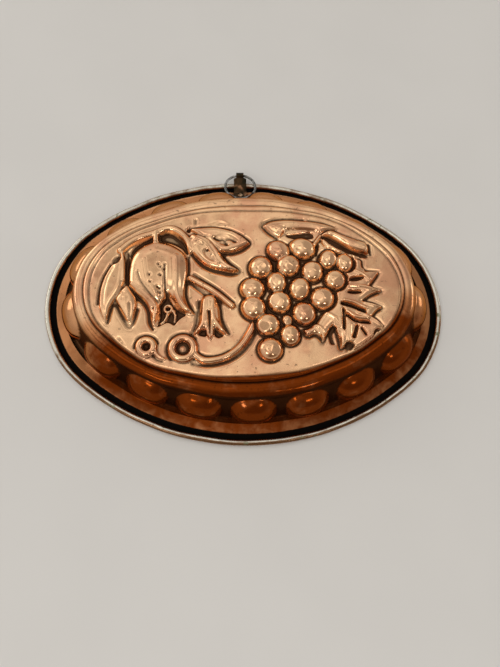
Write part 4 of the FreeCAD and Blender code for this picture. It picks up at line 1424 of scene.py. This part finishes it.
@dataclass
class MouldBody:
    """The pressed sheet as one closed skin: lobed side, rolled rim, relief and its hollow back."""

    oval: Oval
    section: WallSection
    spread: Spread = Spread()
    outer_pitch: float = 0.56
    inner_pitch: float = 1.25
    unevenness: float = 0.10
    waves: tuple[float, ...] = (34.0, 23.0, 15.0, 11.0)
    hanger: Point = (HANGER_X, 73.0)
    hanger_calm: Point = (14.0, 26.0)
    seed: int = 17

    def build(self, finish: bpy.types.Material) -> bpy.types.Mesh:
        """Join side and field, mark them for the finish, and turn them into metres."""
        band, zones = LobedBand(self.oval, self.section).build(finish)
        station, gap, even = (self.read_mark(band, name) for name in ("station", "lobe_gap", "even_inset"))
        station = station.round().astype(int)
        points = self.widened(band, even)
        faces = [tuple(face.vertices) for face in band.polygons]
        if self.turned_in(points, faces, station):
            faces = [face[::-1] for face in faces]
        zone = np.array(zones)[np.clip(station, 0, len(zones) - 1)]
        marks = SideMarks(self.oval, self.section, points, even, gap, zone).all()
        raised = RaisedField(self.oval, self.section, self.spread)
        for top, pitch in ((True, self.outer_pitch), (False, self.inner_pitch)):
            edge = np.flatnonzero(station == (0 if top else len(zones) - 1))
            edge = edge[np.argsort(np.arctan2(points[edge, 1], points[edge, 0]))]
            plan, triangles = self.fill(points[edge, :2], pitch)
            new = plan[len(edge):]
            index = np.concatenate([edge, np.arange(len(points), len(points) + len(new))])
            points = np.vstack([points, np.column_stack([new, raised.heights(new, top)])])
            faces += [tuple(index[c] for c in (t if top else t[::-1])) for t in triangles]
            for name, values in raised.marks(new, top).items():
                marks[name] = np.concatenate([marks[name], values])
        points += self.uneven(points)
        points[:, 2] = np.maximum(points[:, 2], 0)
        mesh = bpy.data.meshes.new("mould_skin")
        mesh.from_pydata(points * MM, [], faces)
        mesh.materials.append(finish)
        for name, values in marks.items():
            mesh.attributes.new(name, "FLOAT", "POINT").data.foreach_set("value", values.astype(np.float32))
        mesh.shade_smooth()
        return mesh

    def widened(self, band: bpy.types.Mesh, even: np.ndarray) -> np.ndarray:
        """The band's points, moved out to where the beads and the field's edge wander."""
        points = np.empty(len(band.vertices) * 3)
        band.vertices.foreach_get("co", points)
        points = points.reshape(-1, 3)
        x, y = points[:, 0], points[:, 1]
        points[:, :2] += self.oval.outward(x, y) * self.spread.amount(self.oval, x, y, even)[:, None]
        return points

    @staticmethod
    def read_mark(mesh: bpy.types.Mesh, name: str) -> np.ndarray:
        """Values of a mark, one for each point."""
        values = np.empty(len(mesh.vertices), np.float32)
        mesh.attributes[name].data.foreach_get("value", values)
        return values

    @staticmethod
    def turned_in(points: np.ndarray, faces: list[tuple[int, ...]], station: np.ndarray) -> bool:
        """True if the band's faces point into the metal, judged on a face at the field's edge."""
        for face in faces:
            if all(station[c] in (0, 1) for c in face):
                a, b, c = points[list(face[:3])]
                return np.cross(b - a, c - a)[2] < 0
        return False

    @staticmethod
    def fill(edge: np.ndarray, pitch: float) -> tuple[np.ndarray, list[tuple[int, ...]]]:
        """Even triangles inside a closed edge.

        Args:
            edge: The edge's points, counterclockwise.
            pitch: Distance between neighbouring points inside.

        Returns:
            All points, the edge's first, and the triangles.
        """
        low, high = edge.min(0), edge.max(0)
        rows = np.arange(low[1], high[1], pitch * math.sqrt(0.75))
        x, y = np.meshgrid(np.arange(low[0], high[0], pitch), rows)
        x = x + (np.arange(len(rows)) % 2)[:, None] * pitch / 2
        x, y = x.ravel(), y.ravel()
        keep = Sheet.inside(edge, x, y)
        x, y = x[keep], y[keep]
        near = np.full(len(x), 1e9)
        for a in edge:
            near = np.minimum(near, np.hypot(x - a[0], y - a[1]))
        clear = near > pitch * 0.8
        plan = np.vstack([edge, np.column_stack([x[clear], y[clear]])])
        made = delaunay_2d_cdt([Vector(p) for p in plan], [], [list(range(len(edge)))], 1, 1e-7, True)
        order = [source[0] if source else -1 for source in made[3]]
        return plan, [tuple(order[c] for c in face) for face in made[2]]

    def uneven(self, points: np.ndarray) -> np.ndarray:
        """Gentle hand-made unevenness, none of it at the hanger or under the rim.

        Args:
            points: Points in millimetres.

        Returns:
            How far each one moves.
        """
        chance = np.random.default_rng(self.seed)
        move = np.zeros(points.shape)
        for wave in self.waves:
            for axis in range(3):
                way = chance.normal(size=3)
                way /= np.linalg.norm(way)
                phase = chance.uniform(0, 2 * math.pi)
                size = self.unevenness * wave / self.waves[0]
                move[:, axis] += size * np.sin(points @ way * 2 * math.pi / wave + phase)
        away = np.hypot(points[:, 0] - self.hanger[0], points[:, 1] - self.hanger[1])
        calm = smooth_step(away, *self.hanger_calm)
        return move * (calm * smooth_step(points[:, 2], 0.0, 3.0))[:, None]


@dataclass
class HangerStrap:
    """Strip folded round the ring's wire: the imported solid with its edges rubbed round."""

    edge: float = 0.14
    crease: float = math.radians(36)

    def build(self, finish: bpy.types.Material) -> bpy.types.Mesh:
        """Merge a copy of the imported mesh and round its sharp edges."""
        worn = bmesh.new()
        worn.from_mesh(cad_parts["hanger_strap"].data)
        bmesh.ops.remove_doubles(worn, verts=worn.verts, dist=0.005 * MM)
        bmesh.ops.dissolve_limit(worn, angle_limit=math.radians(1), verts=worn.verts, edges=worn.edges)
        sharp = [edge for edge in worn.edges if edge.calc_face_angle(0.0) > self.crease]
        bmesh.ops.bevel(worn, geom=sharp, offset=self.edge * MM, segments=3, profile=0.5, affect="EDGES",
                        clamp_overlap=True)
        bmesh.ops.triangulate(worn, faces=worn.faces)
        open_edges = sum(not edge.is_manifold for edge in worn.edges)
        if open_edges:
            LOG.warning("hanger_strip has %d open edges", open_edges)
        return plain_mesh("hanger_strip", worn, finish)


@dataclass
class Hanger:
    """The hanger's place, its rivet and its wire ring."""

    oval: Oval
    section: WallSection
    x: float = HANGER_X
    strip: float = 0.6
    lie_gap: float = 0.05
    rivet_radius: float = 0.9
    rivet_tail: float = 0.3
    rivet_dome: tuple[Point, ...] = ((1.5, 0.005), (1.6, 0.07), (1.5, 0.24), (1.22, 0.45), (0.8, 0.61),
                                     (0.4, 0.68), (0.0, 0.7))
    ring_diameter: float = 19.4
    wire: float = 1.5
    wire_slack: float = 0.01
    wire_bend: float = 0.18
    ring_tilt: float = 8.5
    cut_at: float = 167.0
    sweep: float = 358.0

    def turn(self) -> Matrix:
        """Turn of the hanger's axes, Y outward across the rim, about the mould's."""
        return Matrix.Rotation(-math.asin(self.x / self.oval.side_radius), 4, "Z")

    @staticmethod
    def wire_tree() -> bpy.types.NodeTree:
        """Geometry tree of a wire bent into a ring."""
        kinds = {**dict.fromkeys(("Ring Radius", "Wire Radius", "Sweep", "Start", "Bend"), "Float"),
                 "Finish": "Material"}
        g, given = new_geometry("bent_wire", kinds)
        arc = g.term("GeometryNodeCurveArc", {"Resolution": 120, "Radius": given["Ring Radius"],
                                              "Start Angle": given["Start"], "Sweep Angle": given["Sweep"]})
        place = g.term("GeometryNodeInputPosition")
        wave = g.term("ShaderNodeTexNoise", {"Vector": place, "Scale": 0.12, "Detail": 0.0}, "Color")
        shift = g.vector("SCALE", g.vector("SUBTRACT", wave, (0.5, 0.5, 0.5)), given["Bend"])
        bent = g.term("GeometryNodeSetPosition", {"Geometry": arc, "Offset": shift})
        section = {"Resolution": 18, "Radius": given["Wire Radius"]}
        profile = g.term("GeometryNodeCurvePrimitiveCircle", section)
        wire = g.term("GeometryNodeCurveToMesh", {"Curve": bent, "Profile Curve": profile, "Fill Caps": True})
        smooth = g.term("GeometryNodeSetShadeSmooth", {"Geometry": wire})
        finish_geometry(g, smooth, given["Finish"])
        return g.tree

    def ring(self, finish: bpy.types.Material) -> bpy.types.Mesh:
        """Wire ring leaning on the wall, with its cut at the side."""
        values = {"Ring Radius": (self.ring_diameter - self.wire) / 2,
                  "Wire Radius": self.wire / 2 - self.wire_slack, "Sweep": math.radians(self.sweep),
                  "Start": math.radians(self.cut_at), "Bend": self.wire_bend, "Finish": finish}
        mesh = evaluated_mesh("hanging_wire", self.wire_tree(), values)
        low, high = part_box("hanging_ring")
        lean = Matrix.Rotation(-math.radians(self.ring_tilt), 4, "X")
        mesh.transform(Matrix.Translation((low + high) / 2) @ self.turn() @ lean @ Matrix.Scale(MM, 4))
        return mesh

    def rivet_profile(self) -> list[Point]:
        """Half of the rivet's outline, radius and height, from its tail to the top of its dome."""
        inside = -self.section.sheet - 0.01
        tail = -self.section.sheet - self.rivet_tail
        seat = self.lie_gap + 2 * self.strip
        shank = [(1.24, inside), (self.rivet_radius, inside), (self.rivet_radius, seat)]
        flat = [(0.0, tail), (1.15, tail), (1.28, tail + 0.06), (1.3, tail + 0.22)]
        return flat + shank + [(radius, seat + height) for radius, height in self.rivet_dome]

    def rivet(self, finish: bpy.types.Material) -> bpy.types.Mesh:
        """Domed rivet through strap and collar, with its flat tail inside."""
        lathe = bmesh.new()
        points = [lathe.verts.new((radius, 0, height)) for radius, height in self.rivet_profile()]
        edges = [lathe.edges.new(pair) for pair in zip(points, points[1:])]
        bmesh.ops.spin(lathe, geom=points + edges, cent=(0, 0, 0), axis=(0, 0, 1), angle=2 * math.pi,
                       steps=40, use_duplicate=False)
        bmesh.ops.remove_doubles(lathe, verts=lathe.verts, dist=0.0005)
        bmesh.ops.recalc_face_normals(lathe, faces=lathe.faces)
        mesh = plain_mesh("rivet_turned", lathe, finish)
        low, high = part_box("hanger_rivet")
        run = self.section.collar_end - self.section.flange_end
        slope = Matrix.Rotation(-math.atan2(self.section.collar_rise, run), 4, "X")
        mesh.transform(self.turn() @ slope @ Matrix.Scale(MM, 4))
        corners = np.array([point.co for point in mesh.vertices])
        middle = Vector((corners.min(0) + corners.max(0)) / 2)
        mesh.transform(Matrix.Translation((low + high) / 2 - middle))
        return mesh


@dataclass(frozen=True)
class Camera:
    """The photograph's view of the mould, as fitted to its rim, beads and field."""

    place: Spot = (-9.481, -103.720, 260.863)
    tilt: float = 0.3203689
    turn: float = 0.0447053
    focal_share: float = 500 / 667
    sensor: float = 36.0
    nearest: float = 0.01
    furthest: float = 60.0

    def build(self) -> bpy.types.Object:
        """Make the camera and make it the scene's."""
        data = bpy.data.cameras.new("photograph_view")
        data.sensor_width = self.sensor
        data.lens = self.sensor * self.focal_share
        data.clip_start, data.clip_end = self.nearest, self.furthest
        ct, st, cp, sp = math.cos(self.tilt), math.sin(self.tilt), math.cos(self.turn), math.sin(self.turn)
        right = Vector((cp, 0, sp))
        up = Vector((-sp * st, ct, cp * st))
        back = Vector((-sp * ct, -st, cp * ct))
        turned = Matrix((right, up, back)).transposed().to_4x4()
        made = helper_object("photograph_view", data)
        made.matrix_world = Matrix.Translation(Vector(self.place) * MM) @ turned
        bpy.context.scene.camera = made
        return made


@dataclass(frozen=True)
class Lamp:
    """Soft rectangular lamp that faces the mould: sizes in metres, power in watts."""

    name: str
    place: Spot
    size: Point
    power: float

    def build(self) -> None:
        """Hang the lamp."""
        data = bpy.data.lights.new(self.name, "AREA")
        data.shape = "RECTANGLE"
        data.size, data.size_y = self.size
        data.energy = self.power
        made = helper_object(self.name, data)
        made.location = self.place
        made.rotation_mode = "QUATERNION"
        made.rotation_quaternion = (Vector((0, 0, 0.01)) - Vector(self.place)).to_track_quat("-Z", "Y")


@dataclass(frozen=True)
class Studio:
    """Pale floor, soft sky and soft lamps.

    Each glow in the sky has its middle, and the nearness to it where it is full and where it ends.
    """

    floor_half: float = 18.0
    floor_drop: float = 0.00005
    floor_colour: Colour = (0.72, 0.70, 0.67)
    zenith: Colour = (1.0, 0.99, 0.965)
    horizon: Colour = (0.64, 0.625, 0.60)
    front: Colour = (0.20, 0.145, 0.10)
    front_way: Spot = (0.26, -0.93, 0.26)
    right: Colour = (0.44, 0.42, 0.40)
    gap: Colour = (0.50, 0.47, 0.43)
    glow: Colour = (1.9, 1.85, 1.75)
    glows: tuple[tuple[Spot, float, float], ...] = (
        ((-0.24, 0.0, 0.97), 0.995, 0.972), ((0.33, 0.12, 0.936), 0.997, 0.984))
    backdrop: Colour = (0.66, 0.65, 0.63)
    lamps: tuple[Lamp, ...] = (
        Lamp("window", (-0.85, 0.45, 0.26), (0.70, 0.36), 1.3),
        Lamp("side_lamp", (0.88, 0.25, 0.24), (0.24, 0.26), 0.35),
        Lamp("front_left", (-0.42, -0.62, 0.60), (0.22, 0.12), 0.7),
        Lamp("front_right", (0.36, -0.64, 0.62), (0.16, 0.10), 0.45),
    )

    def floor(self) -> None:
        """Lay the floor just under the rim."""
        mesh = bpy.data.meshes.new("floor")
        half = self.floor_half
        corners = [(-half, -half, 0), (half, -half, 0), (half, half, 0), (-half, half, 0)]
        mesh.from_pydata(corners, [], [(0, 1, 2, 3)])
        material, g, shader, place = new_finish("pale_floor")
        tone = g.ease(g.noise(place, 60, 2), 0.3, 0.7)
        darker = tuple(c * 0.98 for c in self.floor_colour)
        g.feed(shader, {"Base Color": g.mix(tone, self.floor_colour, darker), "Roughness": 0.9})
        mesh.materials.append(material)
        floor = helper_object("floor", mesh)
        floor.location.z = -self.floor_drop

    def sky(self) -> None:
        """Light from all round: brightest above and behind the mould, darker and warmer in front."""
        world = bpy.data.worlds.new("studio_sky")
        bpy.context.scene.world = world
        world.use_nodes = True
        world.node_tree.nodes.clear()
        g = Graph(world.node_tree)
        way = g.term("ShaderNodeTexCoord", output="Generated")
        x, _, z = g.parts(way)
        colour = g.mix(g.ease(z, 0.0, 0.75), self.horizon, self.zenith)
        ahead = g.vector("DOT_PRODUCT", way, self.front_way, output="Value")
        band = g.term("ShaderNodeTexNoise", {"Vector": way, "Scale": 2.8, "Detail": 0.0}, "Fac")
        colour = g.mix(g.ease(band, 0.42, 0.62) * g.ease(z, 0.35, 0.7), colour, self.gap)
        colour = g.mix(g.ease(x, -0.05, 0.55) * g.ease(z, 0.05, 0.5), colour, self.right)
        colour = g.mix(g.ease(ahead, 0.55, 0.95) * g.ease(z, 0.02, 0.2), colour, self.front)
        for middle, full, end in self.glows:
            nearness = g.vector("DOT_PRODUCT", way, middle, output="Value")
            colour = g.mix(g.ease(nearness, end, full), colour, self.glow)
        seen = g.term("ShaderNodeLightPath", output="Is Camera Ray")
        light = g.term("ShaderNodeBackground", {"Color": g.mix(seen, colour, self.backdrop), "Strength": 1.0})
        g.node("ShaderNodeOutputWorld", {"Surface": light})

    def build(self) -> None:
        """Set up floor, sky, lamps and the plain view transform."""
        bpy.context.scene.view_settings.view_transform = "Standard"
        self.floor()
        self.sky()
        for lamp in self.lamps:
            lamp.build()


def main() -> None:
    """Build every piece in order, then note the sizes."""
    logging.basicConfig(level=logging.INFO, format="%(name)s %(message)s")
    Studio().build()
    Camera().build()
    _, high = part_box("mould_body")
    oval = Oval(high[0] / MM, high[1] / MM)
    section = WallSection()
    hanger = Hanger(oval, section)
    skin = MouldBody(oval, section).build(AgedCopper().material())
    show("mould_skin", skin, "mould", "copper_sheet", "mould_body")
    strip = HangerStrap().build(STRAP_FINISH.material())
    show("hanger_strip", strip, "mould", "tarnished_strap", "hanger_strap")
    rivet = hanger.rivet(RIVET_FINISH.material())
    show("rivet_turned", rivet, "mould", "copper_rivet", "hanger_rivet")
    wire = hanger.ring(WIRE_FINISH.material())
    show("hanging_wire", wire, "ring", "steel_wire", "hanging_ring")


if __name__ == "__main__":
    main()
